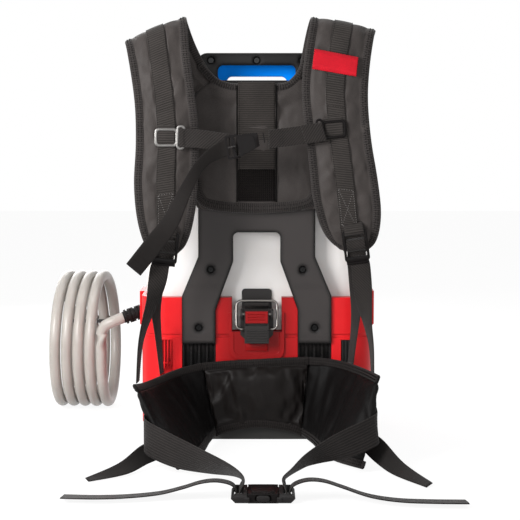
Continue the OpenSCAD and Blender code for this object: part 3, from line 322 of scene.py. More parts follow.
coil_in = coil_point(COIL_START) - coil_way(COIL_START) * COIL_EASE
coil_tip = coil_point(COIL_END) + coil_way(COIL_END) * COIL_EASE
lead = [boot_end, boot_end + outlet_way * 6, (-239, 208, 158), (-250, 210.5, 152),
        coil_in - coil_way(COIL_START) * 5, coil_in]
lead = spline(lead, 4)
turns = [coil_point(a) for a in np.linspace(COIL_START, COIL_END, COIL_STATIONS)]
path = np.array([at(*p) for p in np.vstack([lead, turns, [coil_tip]])])
side_on = np.tile([0.0, 1.0, 0.0], (len(path), 1))
side_on[len(lead):] = coil_axis
hose = round_tube("outlet_hose", path, HOSE / 2 - 0.0003, HOSE_SIDES, side_on, vinyl)
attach(hose, "base")
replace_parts(hose, "hose_lead", "hose_coil")


def moulded(name, colour, roughness, grain=1.0, grain_size=2400, edge=0.0006, lift=0.25,
            gloss=0.2, rim=None, **more):
    """Injection moulded plastic: a fine spark texture, soft edges, corners painted paler as
    highlight, and an optional dark edge band painted as shade.
    """
    made = Finish(name, Specular_IOR_Level=gloss, **more)
    soft_edge = made.node("Bevel", {"Radius": edge}, samples=6)
    flat = made.node("NewGeometry", out=1)
    meeting = made.node("VectorMath", {0: soft_edge, 1: flat}, out=1, operation="DOT_PRODUCT")
    corner = made.ramp(1 - meeting, (0.01, 0), (0.25, 1))
    fine = made.noise(grain_size, 2, 0.6)
    broad = made.noise(14, 3, 0.55)
    pale = tuple(min(c * 1.35 + 0.01, 1) for c in colour)
    dark = tuple(c * 0.86 for c in colour)
    base = made.mix(made.ramp(broad, (0.35, 0), (0.7, 1)), dark, colour)
    # Painted highlight: the corners are mixed towards a paler colour, as far as lift says.
    skin = made.mix(corner * lift, base, pale)
    # Painted shade: a dark band laid along the very edges.
    if rim:
        skin = made.mix(made.ramp(1 - meeting, (0.02, 0), (0.05, 1)), skin, rim)
    made.set(Base_Color=skin, Roughness=broad * 0.10 + (roughness - 0.05) + fine * 0.04,
             Normal=made.bump(fine, 0.35 * grain, 0.00012, soft_edge))
    return made


def shaded(finish, value, colour):
    """Paints shade over a finish: a deeper colour where the value is 1."""
    skin = Term(finish, finish.shader.inputs["Base Color"].links[0].from_socket)
    finish.set(Base_Color=finish.mix(value, skin, colour))


def dress(finish, *nodes):
    for name in nodes:
        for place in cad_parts[name].material_slots:
            place.material = finish.material


fitting_black = moulded("smooth_black_plastic", (0.009, 0.008, 0.008), 0.42, 0.25, edge=0.0006,
                        lift=0.35, gloss=0.12)
dress(fitting_black, "hose_coupling", "outlet_fitting", "strain_relief", "cap_gasket")
dress(Finish("black_tie_band", Base_Color=(0.02, 0.02, 0.02), Roughness=0.75), "hose_tie")

# ---------------------------------------------------------------- Pump base
# Two injection mouldings: a red satin shell that holds the pump, motor and battery, with a pocket
# for the tank, and a black tray below it. The webbing anchors are ribbed inserts, the right one in
# black and the left one in the shell's red.
shell_red = moulded("red_satin_plastic", (0.56, 0.0075, 0.0105), 0.36, 0.35, edge=0.0012, lift=0.35,
                    gloss=0.14)
# Painted shade: the red is laid deeper towards the middle, round the latch between the frame's
# legs.
aside = shell_red.node("Math", {0: shell_red.node("SeparateXYZ", {0: shell_red.place()})},
                       operation="ABSOLUTE")
shaded(shell_red, shell_red.ramp(aside * 10, (0.3, 1), (0.95, 0)), (0.20, 0.001, 0.0018))
dress(shell_red, "base_shell", "latch_lock", "power_button", "strap_anchor_left")
dress(moulded("grained_black_plastic", (0.022, 0.021, 0.020), 0.55, 1.0, edge=0.0008),
      "base_tray", "battery_door", "battery_pack", "pressure_dial", "valve_socket", "pump_head",
      "fill_strainer", "tank_valve")
dress(moulded("ribbed_black_insert", (0.010, 0.010, 0.010), 0.40, 0.4, edge=0.0004),
      "strap_anchor_right")
dress(moulded("green_circuit_board", (0.02, 0.12, 0.05), 0.4, 0.1, edge=0.0002), "control_board")
motor_steel = Finish("plated_motor_can", Base_Color=(0.45, 0.45, 0.44), Metallic=1.0,
                     Roughness=0.35)
motor_steel.set(Normal=motor_steel.bump(motor_steel.noise(900, 2), 0.1, 0.0001))
dress(motor_steel, "pump_motor", "motor_rotor")

# ---------------------------------------------------------------- Carry frame
# One large moulding in glass filled nylon with a fine spark texture, a back cover, and seven
# recessed screws in black oxide. Its edges are rounded in the shading, and a thin dark band is
# painted along them as shade.
# Painted shade: the dark edge colour lays a near-black band along every edge of the frame.
frame_black = moulded("textured_frame_nylon", (0.031, 0.0265, 0.0255), 0.46, 1.8, 1100, edge=0.009,
                      lift=0.5, gloss=0.2, rim=(0.0025, 0.002, 0.002))
# Painted shade: the frame is laid darker on its top bar, above 0.5 to 0.56 m, and on its foot ribs,
# below 0.132 to 0.138 m.
level = frame_black.node("SeparateXYZ", {0: frame_black.place()}, out=2)
shaded(frame_black, frame_black.ramp(level, (0.5, 0), (0.56, 1)), (0.002, 0.0014, 0.0015))
shaded(frame_black, frame_black.ramp(level, (0.132, 1), (0.138, 0)), (0.003, 0.0025, 0.0025))
dress(frame_black, "harness_frame", "frame_rear_cover")
screw_metal = Finish("black_oxide_steel", Base_Color=(0.006, 0.006, 0.006), Roughness=0.2,
                     Specular_IOR_Level=0.1)
screw_metal.set(Normal=screw_metal.bump(screw_metal.noise(1800, 2), 0.2, 0.0001))
dress(screw_metal, "frame_screws")

# ---------------------------------------------------------------- Tank latch
# An over-centre latch: a grained black lever on a steel pin pulls a bent wire bail down over the
# keeper on the tank, and a red slide locks it.
latch_black = moulded("grained_latch_nylon", (0.015, 0.013, 0.0125), 0.42, 0.6, 2200, edge=0.0008,
                      lift=0.4, gloss=0.2)
dress(latch_black, "latch_lever", "tank_keeper")
wire_steel = Finish("drawn_steel_wire", Base_Color=(0.16, 0.15, 0.14), Metallic=1.0,
                    Roughness=0.3)
draw_lines = wire_steel.noise(1, 2, 0.6, wire_steel.place(scale=(3000, 60, 1), uv=True))
wire_steel.set(Normal=wire_steel.bump(draw_lines, 0.15, 0.00008))
dress(wire_steel, "latch_pin", "door_hinge_pin")

BAIL_R, BAIL_LOW, BAIL_TOP = 2.0, np.array([31, -7.6, 172.0]), np.array([31, 2, 214.2])
upward, sideways = unit(BAIL_TOP - BAIL_LOW), np.array([1.0, 0, 0])


def wire_bend(corner, u, v, r, count=8):
    """Points round a bend of radius r, from direction u into direction v."""
    k = np.radians(np.linspace(0, 90, count))[:, None]
    return corner + (v - u) * r + r * (u * np.sin(k) - v * np.cos(k))


def select(thing):
    bpy.ops.object.select_all(action="DESELECT")
    bpy.context.view_layer.objects.active = thing
    thing.select_set(True)


def settle(thing, modifier=None):
    """Bakes a modifier, or the object's own placing, into its mesh."""
    select(thing)
    if modifier:
        bpy.ops.object.modifier_apply(modifier=modifier.name)
    else:
        bpy.ops.object.transform_apply(location=True, rotation=True, scale=True)


def block(size, place=(0, 0, 0), axis=1, radius=0.0):
    """A block, in millimetres; radius rounds its corners along one axis."""
    bpy.ops.mesh.primitive_cube_add(size=1)
    made = bpy.context.object
    made.scale = [x / 1000 for x in size]
    made.location = [x / 1000 for x in place]
    settle(made)
    if radius:
        bpy.ops.object.mode_set(mode="EDIT")
        mesh = bmesh.from_edit_mesh(made.data)
        for edge in mesh.edges:
            way = edge.verts[0].co - edge.verts[1].co
            edge.select_set(abs(way[axis]) > 0.9 * way.length)
        bmesh.update_edit_mesh(made.data)
        bpy.ops.mesh.bevel(offset=radius / 1000, segments=5, affect="EDGES")
        bpy.ops.object.mode_set(mode="OBJECT")
    return made


def turned(made, angle, axis=1, about=(0, 0, 0)):
    """The piece, turned about a point in millimetres."""
    spin = Matrix.Rotation(math.radians(angle), 4, "XYZ"[axis])
    centre = Matrix.Translation(Vector(about) / 1000)
    made.matrix_world = centre @ spin @ centre.inverted()
    settle(made)
    return made


# A fitting's edges are rounded where they are sharper than the first angle, and its faces are
# shaded as one where they meet at less than the second.
SHARP, SMOOTH = math.radians(35), 0.7


def cast(name, finish, adds, cuts=(), edge=0.6, place=(0, 0, 0), lean=0):
    """One moulded piece made of blocks joined and cut, then rounded at its edges."""
    body = adds[0]
    for other, how in [(a, "UNION") for a in adds[1:]] + [(c, "DIFFERENCE") for c in cuts]:
        joint = body.modifiers.new("join", "BOOLEAN")
        joint.operation, joint.object, joint.solver = how, other, "EXACT"
        settle(body, joint)
        bpy.data.objects.remove(other)
    soften = body.modifiers.new("edges", "BEVEL")
    soften.width, soften.segments, soften.angle_limit = edge / 1000, 2, SHARP
    settle(body, soften)
    bpy.ops.object.shade_smooth_by_angle(angle=SMOOTH)
    body.location = at(*place)
    body.rotation_euler = (0, math.radians(lean), 0)
    settle(body)
    body.name = name
    body.data.materials.clear()
    body.data.materials.append(finish.material)
    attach(body, "base")
    return body


BRACKET_LOW = 151
cheeks = [block((3.5, 17.8, 16), (23.25 * way, -7.2, 195), 0, 7) for way in (-1, 1)]
corners = [turned(block((16, 12, 16), corner), 45, 1, corner)
           for corner in ((-25, 0, BRACKET_LOW), (25, 0, BRACKET_LOW))]
bracket = cast("latch_backplate", latch_black,
               [block((50, 3, 51), (0, 0.2, BRACKET_LOW + 25.5)), *cheeks], corners, 0.7)
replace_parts(bracket, "latch_bracket")
cast("latch_stop", shell_red, [block((34, 3.4, 11), (0, 0.8, 143), 1, 1.5)], (), 0.8)
half_bail = np.vstack([[(13.5, -7.6, 172)], wire_bend(BAIL_LOW, sideways, upward, 7),
                       wire_bend(BAIL_TOP, upward, -sideways, 8)])
bail_path = np.array([at(*p) for p in np.vstack([half_bail, half_bail[::-1] * (-1, 1, 1)])])
bail = round_tube("wire_bail", bail_path, BAIL_R / 1000, 20, np.array([[0, 1.0, 0]]), wire_steel)
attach(bail, "bail")
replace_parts(bail, "latch_bail")

# ---------------------------------------------------------------- Tank
# Blow moulded translucent polyethylene with a filling neck and a ribbed screw cap. The handle is a
# blue moulding pressed on at its top.
tank_milk = Finish("translucent_polyethylene", Roughness=0.42, Subsurface_Weight=0.5,
                   Subsurface_Scale=0.02, Subsurface_Radius=(1.0, 0.92, 0.84),
                   Specular_IOR_Level=0.45)
tank_edge = tank_milk.node("Bevel", {"Radius": 0.003}, samples=6)
tank_cloud = tank_milk.noise(7, 3, 0.55)
tank_fine = tank_milk.noise(420, 2, 0.5)
tank_milk.set(Base_Color=tank_milk.mix(tank_milk.ramp(tank_cloud, (0.35, 0), (0.7, 1)),
                                       (0.70, 0.65, 0.615), (0.78, 0.74, 0.715)),
              Normal=tank_milk.bump(tank_fine, 0.12, 0.0004, tank_edge))
dress(tank_milk, "tank_shell")
dress(moulded("blue_satin_plastic", (0.0, 0.25, 1.0), 0.5, 0.3, edge=0.002, lift=0.05, gloss=0.03),
      "tank_handle")
dress(moulded("ribbed_cap_plastic", (0.020, 0.020, 0.020), 0.45, 0.6, edge=0.0008), "fill_cap")

# ---------------------------------------------------------------- Back yoke
# A flat foam panel in black pack cloth, screwed up high on the carry frame. Its bottom and its neck
# curve are bound with folded tape, and a wide band and a loop patch are sewn up its middle.


def to_metres(points):
    return np.array(points, float) / 1000 - np.array([0, MID_Y, 0])


def edges_of(a, b, steps):
    """Smoothed edges of a band, in metres, with its face normals and its middle line."""
    p, q = to_metres(spline(a, steps)), to_metres(spline(b, steps))
    middle_line = (p + q) / 2
    return p, q, unit(np.cross(tangents(middle_line), p - q)), middle_line


def either_side(points, shift, steps):
    """The same for a band that reaches a shift to either side of a line of points."""
    return edges_of(np.array(points) + shift, np.array(points) - shift, steps)


def woven(name, colour, across, along, twill=0.0, depth=0.00022, sheen=0.12, rough=0.72,
          crumple=0.0):
    """Woven webbing or cloth: ribs across and along its own map, an optional diagonal, and soft
    creases where it is sewn over foam."""
    made = Finish(name, Sheen_Weight=sheen, Sheen_Roughness=0.45, Specular_IOR_Level=0.1)
    u = made.node("SeparateXYZ", {0: made.place(uv=True)})
    v = u.output(1)
    wobble = made.noise(1, 2, 0.5, made.place(scale=(260, 260, 1), uv=True))
    height = wobble * 0.5
    for axis, pitch in ((u, across), (v, along), (u + v, twill)):
        if pitch:
            turn = axis * (2 * math.pi / pitch) + wobble * 1.6
            height = height + made.node("Math", {0: turn}, operation="SINE")
    fuzz = made.noise(5200, 2, 0.7)
    patch = made.noise(30, 3, 0.6)
    dark = tuple(c * 0.45 for c in colour)
    pale = tuple(c * 1.5 + 0.001 for c in colour)
    share = made.ramp(height * 0.28 + fuzz * 0.25 + patch * 0.45 + 0.05, (0.2, 0), (0.85, 1))
    made.set(Base_Color=made.mix(share, dark, pale),
             Roughness=fuzz * 0.12 + (rough - 0.06))
    soft = None
    if crumple:
        soft = made.bump(made.noise(26, 2, 0.5, made.place((1, 1, 0.5), (0, 0.6, 0))), 0.8, crumple)
    made.set(Normal=made.bump(height * 0.25 + fuzz * 0.4, 0.75, depth, soft))
    return made


pack_cloth = woven("black_pack_cloth", (0.039, 0.0335, 0.0315), 0.0011, 0.0011, depth=0.00014,
                   sheen=0.1, rough=0.5, crumple=0.009)
bound_tape = woven("black_edge_tape", (0.025, 0.0215, 0.0205), 0.0, 0.0032, depth=0.0006,
                   sheen=0.12)
wide_band = woven("black_wide_webbing", (0.024, 0.0205, 0.0185), 0.0, 0.0028, depth=0.0004)
thread = Finish("black_sewing_thread", Base_Color=(0.0015, 0.0012, 0.0012), Roughness=0.6,
                Specular_IOR_Level=0.05)
pale_thread = Finish("grey_sewing_thread", Base_Color=(0.16, 0.15, 0.145), Roughness=0.5,
                     Sheen_Weight=0.2)

# Half the thickness of a bound edge, the thickness of webbing and of its heavier kind, all in
# millimetres, and the number of frames of a pad's cloth simulation.
EDGE_HALF, WEBBING, HEAVY_WEBBING, FILL_FRAMES = 1.9, 1.6, 1.7, 20


def section(width, seams=(), bind=11.5):
    """Distances across a pad and its height there, as a share of half its thickness. It is thin
    under the edge tape, has a groove beside it, and dips at each sewn line."""
    marks = [(0, 0.12), (1.6, 0.26), (6, 0.28), (bind - 0.5, 0.28), (bind + 1, 0.24),
             (bind + 4, 0.66), (bind + 9, 0.9), (bind + 16, 1.0)]
    rows = marks + [(width - d, h) for d, h in reversed(marks)]
    middle_rows = [(width / 2 + k * (width / 2 - bind - 16) / 4, 1.0) for k in range(-3, 4)]
    for seam in seams:
        at_seam = width / 2 + seam
        middle_rows = [r for r in middle_rows if abs(r[0] - at_seam) > 4]
        middle_rows += [(at_seam - 2.5, 0.94), (at_seam, 0.82), (at_seam + 2.5, 0.94)]
    inner = [r for r in middle_rows if bind + 17 < r[0] < width - bind - 17]
    return sorted(rows + inner)


def pressed(run, fold):
    """How much of its thickness a pad keeps near the fold, along its length."""
    return 1 - 0.58 * np.exp(-((run - run[fold]) / 0.02) ** 2)


def pad_shape(a, b, thick, steps, seams=(), bind=11.5, ends=(10, 10), fold=None):
    """Rings of a sewn pad between two edges, with its distances and its pinned points. It is
    pressed thin where it folds over."""
    p, q, m, line = edges_of(a, b, steps)
    width = float(np.median(np.linalg.norm(p - q, axis=1) * 1000))
    share, high = np.array(section(width, seams, bind)).T
    share = share / width
    run = lengths(line) * 1000
    ease = np.ones(len(line))
    for distance, end in ((run, ends[0]), (run[-1] - run, ends[1])):
        if end:
            ease = np.minimum(ease, 0.22 + 0.78 * np.clip(distance / end, 0, 1) ** 0.5)
    if fold:
        ease *= pressed(run / 1000, fold)
    centre = p[:, None] * (1 - share)[None, :, None] + q[:, None] * share[None, :, None]
    lift = m[:, None] * (high[None, :] * ease[:, None] * thick / 2000)[..., None]
    rings = np.concatenate([centre + lift, (centre - lift)[:, ::-1]], axis=1)
    sewn = high < 0.30
    for seam in seams:
        sewn |= abs(share - 0.5 - seam / width) * width < 0.6
    held = np.concatenate([sewn, sewn[::-1]])[None, :] | (ease < 0.6)[:, None]
    flat = share * width / 1000
    around = np.concatenate([flat, 2 * flat[-1] - flat[::-1] + 0.002, [2 * flat[-1] + 0.004]])
    return rings, lengths(line), around, held, (p, q, m, line)


def puff(pad, held, pressure=4.0, most=0.005, slack=0.03):
    """Fills a sewn pad in a short cloth simulation: its seams hold, its faces swell and pucker."""
    rest = np.array([v.co for v in pad.data.vertices], float)
    group = pad.vertex_groups.new(name="sewn")
    group.add([int(i) for i in np.flatnonzero(held)], 1.0, "REPLACE")
    fill = pad.modifiers.new("fill", "CLOTH")
    fill.point_cache.frame_start, fill.point_cache.frame_end = 1, FILL_FRAMES
    cloth = fill.settings
    cloth.quality = 5
    cloth.mass = 0.12
    cloth.tension_stiffness = cloth.compression_stiffness = 18
    cloth.shear_stiffness = 8
    cloth.bending_stiffness = 0.3
    cloth.vertex_group_mass = "sewn"
    cloth.shrink_min = -slack
    cloth.use_pressure = True
    cloth.uniform_pressure_force = pressure
    cloth.effector_weights.gravity = 0
    for step in range(1, FILL_FRAMES + 1):
        bpy.context.scene.frame_set(step)
    settled = pad.evaluated_get(bpy.context.evaluated_depsgraph_get())
    moved = np.array([v.co for v in settled.data.vertices], float) - rest
    far = np.linalg.norm(moved, axis=1, keepdims=True)
    rest = rest + moved * np.minimum(1, most / np.maximum(far, 1e-9))
    pad.modifiers.remove(fill)
    pad.vertex_groups.clear()
    bpy.context.scene.frame_set(1)
    pad.data.vertices.foreach_set("co", rest.ravel())
    rounder = pad.modifiers.new("rounder", "SUBSURF")
    rounder.levels = rounder.render_levels = 1
    settle(pad, rounder)


def crease(pad, *marks, mirror=1):
    """Soft folds in a pad's faces: each mark has two ends x, z, then a reach and a height."""
    points = np.array([v.co for v in pad.data.vertices], float)
    normals = np.array([v.normal for v in pad.data.vertices], float)
    x, z = points[:, 0] * 1000 * mirror, points[:, 2] * 1000
    for x1, z1, x2, z2, reach, high in marks:
        t = np.clip(((x - x1) * (x2 - x1) + (z - z1) * (z2 - z1))
                    / ((x2 - x1) ** 2 + (z2 - z1) ** 2), 0, 1)
        away = np.hypot(x - x1 - t * (x2 - x1), z - z1 - t * (z2 - z1))
        points += normals * (high / 1000 * np.exp(-(away / reach) ** 2))[:, None]
    pad.data.vertices.foreach_set("co", points.ravel())
    pad.data.update()


def sewn_pad(name, a, b, thick, finish, steps=8, puffing=4.0, most=0.004, slack=0.03, **shape):
    rings, run, around, held, lines = pad_shape(a, b, thick, steps, **shape)
    pad = shell(name, rings, run, around, finish)
    puff(pad, held.ravel(), puffing, most, slack)
    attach(pad, "base")
    return pad, lines


def edge_tape(name, edge, inward, normal, width=11.5, half=EDGE_HALF, finish=bound_tape):
    """Tape folded round a pad's edge: edge points, the way into the pad, and its face normal."""
    d, h = width / 1000, half / 1000
    outline = [(d, h * 0.9), (d - 0.0006, h + 0.0004), (d * 0.5, h + 0.0006), (0.0012, h + 0.0003),
               (-0.0004, h * 0.55), (-0.0008, 0), (-0.0004, -h * 0.55), (0.0012, -h - 0.0003),
               (d * 0.5, -h - 0.0006), (d - 0.0006, -h - 0.0004), (d, -h * 0.9)]
    rings = np.stack([edge + inward * i + normal * n for i, n in outline], axis=1)
    around = np.concatenate([[0], np.cumsum([math.dist(outline[k], outline[(k + 1) % 11])
                                              for k in range(11)])])
    tape = shell(name, rings, lengths(edge), around, finish)
    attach(tape, "base")
    return tape


def stitches(name, rows, finish=thread, thick=0.0007, pitch=0.0032, long=0.0024):
    """Lock stitches: small pointed grains along each row of (line, normal, lean) points."""
    points, faces = [], []
    for line, normal, lean in rows:
        run = lengths(line)
        count = max(int(run[-1] / pitch), 1)
        for k in range(count):
            where = (k + 0.5) * run[-1] / count
            i = min(max(int(np.searchsorted(run, where)) - 1, 0), len(line) - 2)
            t = (where - run[i]) / max(run[i + 1] - run[i], 1e-9)
            centre = line[i] * (1 - t) + line[i + 1] * t
            way = unit(line[i + 1] - line[i])
            up = unit(normal[i])
            across = np.cross(up, way)
            if lean:
                way = unit(way + across * (lean if k % 2 else -lean))
                across = np.cross(up, way)
            first = len(points)
            points += [centre - way * long / 2, centre + way * long / 2]
            points += [centre + across * thick / 2, centre + up * thick * 0.6,
                       centre - across * thick / 2, centre - up * thick * 0.4]
            for s in range(4):
                x, y = first + 2 + s, first + 2 + (s + 1) % 4
                faces += [(first, y, x), (first + 1, x, y)]
    made = piece(name, points, faces, None, finish)
    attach(made, "base")
    return made


def ribbon(name, lines, thick, finish, bow=0.0, replaces=()):
    """Webbing between two edges, with soft selvedges and a slight bow across."""
    p, q, m, line = lines
    share = np.array([0, 0.02, 0.07, 0.25, 0.5, 0.75, 0.93, 0.98, 1])
    high = np.array([0.35, 0.85, 1, 1, 1, 1, 1, 0.85, 0.35]) * thick / 2000
    arch = (1 - (2 * share - 1) ** 2) * bow / 1000
    centre = p[:, None] * (1 - share)[None, :, None] + q[:, None] * share[None, :, None]
    front = centre + m[:, None] * (high + arch)[None, :, None]
    back = centre + m[:, None] * (arch - high)[None, :, None]
    rings = np.concatenate([front, back[:, ::-1]], axis=1)
    width = float(np.median(np.linalg.norm(p - q, axis=1)))
    around = np.concatenate([share * width, (2 - share[::-1]) * width, [2 * width]])
    band = shell(name, rings, lengths(line), around, finish)
    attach(band, "base")
    if replaces:
        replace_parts(band, *replaces)
    return band


def lane(lines, middle, width, lift, first=0, last=None):
    """The two edges of a band of a width in millimetres that runs along another one's face."""
    p, q, m, _ = (x[first:last] for x in lines)
    across = unit(q - p)
    centre = (p + q) / 2 + across * middle / 1000 + m * lift / 1000
    a, b = centre - across * width / 2000, centre + across * width / 2000
    return a, b, m, (a + b) / 2


def rows_of(lines, places, lift, first=0, last=None):
    """Rows of stitches along a band; places are distances from its middle in millimetres."""
    p, q, m, _ = (x[first:last] for x in lines)
    across = unit(q - p)
    return [((p + q) / 2 + across * d / 1000 + m * lift / 1000, m, 0) for d in places]


def cross_row(lines, index, reach, lift):
    """One row of stitches straight across a band."""
    p, q, m, line = (x[index] for x in lines)
    across = unit(q - p)
    ends = np.linspace(reach[0], reach[1], 7) / 1000
    return line + ends[:, None] * across + m * lift / 1000, np.repeat(m[None], 7, axis=0), 0


def edge_way(edge, m, towards):
    """The way into a pad at each point of its edge."""
    inward = unit(np.cross(m, tangents(edge)))
    return inward * np.sign(np.sum(inward * (towards - edge), axis=1).mean())


def bound(name, points, normals_there, towards, width=11.0, half=EDGE_HALF, finish=bound_tape):
    """Edge tape along a line, with two rows of zigzag stitches."""
    inward = edge_way(points, normals_there, towards)
    edge_tape(name, points, inward, normals_there, width, half, finish)
    rows = [(points + inward * d * width / 1000 + normals_there * (half + 0.75) / 1000,
             normals_there, 1.1) for d in (0.32, 0.68)]
    stitches(name + "_stitches", rows, thread, 0.0013, 0.0044, 0.0033)


YOKE_Y = -7.3
yoke_side = [(50, 352), (78, 354), (92, 360), (99, 400), (103, 440), (110, 475), (118, 506.5),
             (92, 532), (62, 555)]
yoke, _ = sewn_pad("yoke_pad", [(-x, YOKE_Y, z) for x, z in yoke_side],
                   [(x, YOKE_Y, z) for x, z in yoke_side], 14, pack_cloth, steps=5, puffing=2.0,
                   most=0.0025, slack=0.02, seams=(-29, 29), bind=3, ends=(12, 12))
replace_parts(yoke, "back_yoke")
neck_line = spline([(-82, 0, 576), (-71.7, 0, 563.6), (-58.5, 0, 551), (-40, 0, 544.3),
                    (-20, 0, 543), (0, 0, 543), (20, 0, 543), (41, 0, 544.3), (54, 0, 552.5),
                    (64, 0, 567), (68, 0, 584)], 5)
for corner in yoke.data.vertices:
    x, z = corner.co.x * 1000, corner.co.z * 1000
    if z > 500:
        top = np.interp(np.clip(x, -66, 62), neck_line[:, 0], neck_line[:, 2])
        corner.co.z += (top - 555) * min((z - 500) / 55, 1) / 1000
crease(yoke, (-88, 534, -42, 522, 6, 1.6), (-86, 518, -46, 500, 5, -1.4),
       (-84, 500, -50, 470, 6, 1.4), (-82, 470, -52, 430, 6, -1.2),
       (84, 536, 40, 520, 6, 1.4), (86, 512, 46, 488, 6, -1.4), (84, 480, 46, 440, 7, 1.2))
low_line = spline([(-98, 0, 398), (-95, 0, 378), (-84, 0, 361), (-62, 0, 353), (-30, 0, 350),
                   (0, 0, 349), (30, 0, 350), (62, 0, 353), (84, 0, 361), (95, 0, 378),
                   (98, 0, 398)], 5)
for name, line, width, half in (("yoke_neck_tape", neck_line, 10, 6.8),
                                ("yoke_low_tape", low_line, 15, 7.2)):
    line[:, 1] = YOKE_Y
    bound(name, to_metres(line), np.tile([0.0, -1.0, 0.0], (len(line), 1)),
          np.array([0, YOKE_Y / 1000 - MID_Y, 0.45]), width, half)

YOKE_FACE = YOKE_Y - 7.9


def up_the_yoke(heights, half, middle=0.0, y=YOKE_FACE):
    """Edges of a flat band that runs down the yoke's face."""
    return either_side([(middle, y, z) for z in heights], np.array([half, 0, 0]), 8)


# Painted shadow: a thin near-black strip in each seam channel beside the middle band stands for the
# shadow of the band's edge.
for side in (-1, 1):
    ribbon(("left", "right")[side > 0] + "_yoke_seam",
           up_the_yoke((541, 450, 366), 0.9, 29.6 * side, YOKE_FACE - 0.6), 0.5, thread)
middle_band = up_the_yoke((546, 500, 460, 415), 28)
ribbon("yoke_band", middle_band, WEBBING, wide_band, 0.5, ("yoke_webbing",))
loop_cloth = woven("black_loop_cloth", (0.0045, 0.0033, 0.003), 0.0031, 0.0027, depth=0.002,
                   sheen=0.02, rough=0.92)
patch_lines = up_the_yoke((414.6, 390, 367), 28)
ribbon("yoke_loop_patch", patch_lines, 2.2, loop_cloth, 0, ("loop_patch",))
stitches("yoke_band_stitches",
         rows_of(middle_band, (-26, 26), 1.4) + rows_of(patch_lines, (-26.5, 26.5), 1.3)
         + [cross_row(middle_band, -3, (-27, 27), 1.4), cross_row(middle_band, -1, (-27, 27), 1.4)])

# ---------------------------------------------------------------- Shoulder straps
# Two curved foam pads in pack cloth with folded tape all round. They are sewn to the yoke, fold
# over the shoulders and come down in front. Ribbed webbing is sewn along their middles.
shoulder_band = woven("black_shoulder_webbing", (0.0245, 0.021, 0.0192), 0.0, 0.0034, depth=0.0005)
# Painted shade: the straps' cloth is a copy of the yoke's pack cloth, laid a little darker.
strap_cloth = woven("pack_cloth_painted_darker", (0.037, 0.0315, 0.0295), 0.0011, 0.0011, depth=0.00014,
                    sheen=0.1, rough=0.5, crumple=0.009)
# Both edges of both straps lie at the same depths; their points give x and z.
STRAP_DEPTHS = (-7.3, -8.3, -9.3, -13.3, -28, -50, -62, -70, -75, -77, -76, -73, -71)
left_outer = [(-118.5, 507), (-137, 528), (-165, 562), (-189, 593), (-196, 605), (-192, 596),
              (-184, 553), (-178, 506), (-177, 450), (-180, 397), (-176, 345), (-165, 305),
              (-152, 289)]
left_inner = [(-62, 553), (-76, 569), (-92, 600), (-103, 630), (-106, 642), (-103, 632),
              (-100, 588), (-93, 535), (-86, 474), (-87, 412), (-91, 356), (-103, 309),
              (-121, 288)]
right_outer = [(118.5, 507), (137, 528), (158, 568), (173, 607), (177, 622), (173, 613),
               (166, 569), (163, 518), (168, 458), (177, 405), (183, 352), (177, 312), (160, 293)]
right_inner = [(60.5, 558), (66, 572), (71, 600), (77, 628), (81, 641), (80, 631), (72, 587),
               (67, 532), (73, 472), (79, 414), (85, 366), (100, 322), (124, 297)]
STRAP_STEPS = 7
STRAP_FOLD, BOX_START, BOX_ROWS = 4 * STRAP_STEPS, 5 * STRAP_STEPS + 3, 9


def strap(side, outer, inner):
    """One shoulder pad with its tapes, its webbing and its stitching."""
    a, b = [[(x, y, z) for (x, z), y in zip(edge, STRAP_DEPTHS)]
            for edge in ((inner, outer) if side == "left" else (outer, inner))]
    pad, lines = sewn_pad(side + "_shoulder_pad", a, b, 12, strap_cloth, steps=STRAP_STEPS,
                          puffing=3.0, most=0.0022, slack=0.03, seams=(-13.5, 13.5),
                          ends=(0, 8), fold=STRAP_FOLD)
    crease(pad, (114, 488, 104, 506, 4, 1.3), (114, 470, 103, 488, 4, -1.2),
           (117, 530, 110, 548, 4, 1.2), (164, 516, 154, 504, 4, -1.2),
           (163, 482, 153, 470, 4, 1.2), (163, 418, 153, 400, 4, -1.2),
           (114, 418, 104, 404, 4, 1.2), mirror=1 if side == "right" else -1)
    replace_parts(pad, "shoulder_strap_" + side)
    p, q, m, line = lines
    loop, normals, towards = (np.concatenate([there, back[::-1]])
                              for there, back in ((p, q), (m, m), (line, line)))
    keep = [0]
    for i in range(1, len(loop)):
        if np.linalg.norm(loop[i] - loop[keep[-1]]) > 0.004:
            keep.append(i)
    loop = loop[keep]
    for _ in range(3):
        loop[1:-1] = (loop[:-2] + loop[1:-1] * 2 + loop[2:]) / 4
    bound(side + "_shoulder_tape", loop, normals[keep], towards[keep], 11.0, 1.9)
    lift = 6.4 * pressed(lengths(line), STRAP_FOLD)[STRAP_FOLD:, None]
    band = lane(lines, 0, 28, lift, STRAP_FOLD)
    ribbon(side + "_shoulder_band", band, WEBBING, shoulder_band, 0.6,
           ("shoulder_webbing_" + side,))
    stitches(side + "_band_stitches",
             rows_of(band, (-13, 13), 1.2)
             + [cross_row(band, i, (-12.5, 12.5), 1.5) for i in (22, 23)])
    rows = [cross_row(band, i, (-11, 11), 1.5) for i in (BOX_START, BOX_START + BOX_ROWS - 1)]
    rows += rows_of(band, (-11, 11), 1.5, first=BOX_START, last=BOX_START + BOX_ROWS)
    p, q, m, line = (x[BOX_START:BOX_START + BOX_ROWS] for x in band)
    share = np.linspace(0, 1, BOX_ROWS)[:, None] - 0.5
    rows += [(line + unit(q - p) * share * way * 0.022 + m * 0.0015, m, 0) for way in (-1, 1)]
    stitches(side + "_box_stitches", rows, pale_thread, 0.0009, 0.0034, 0.0016)
    return lines


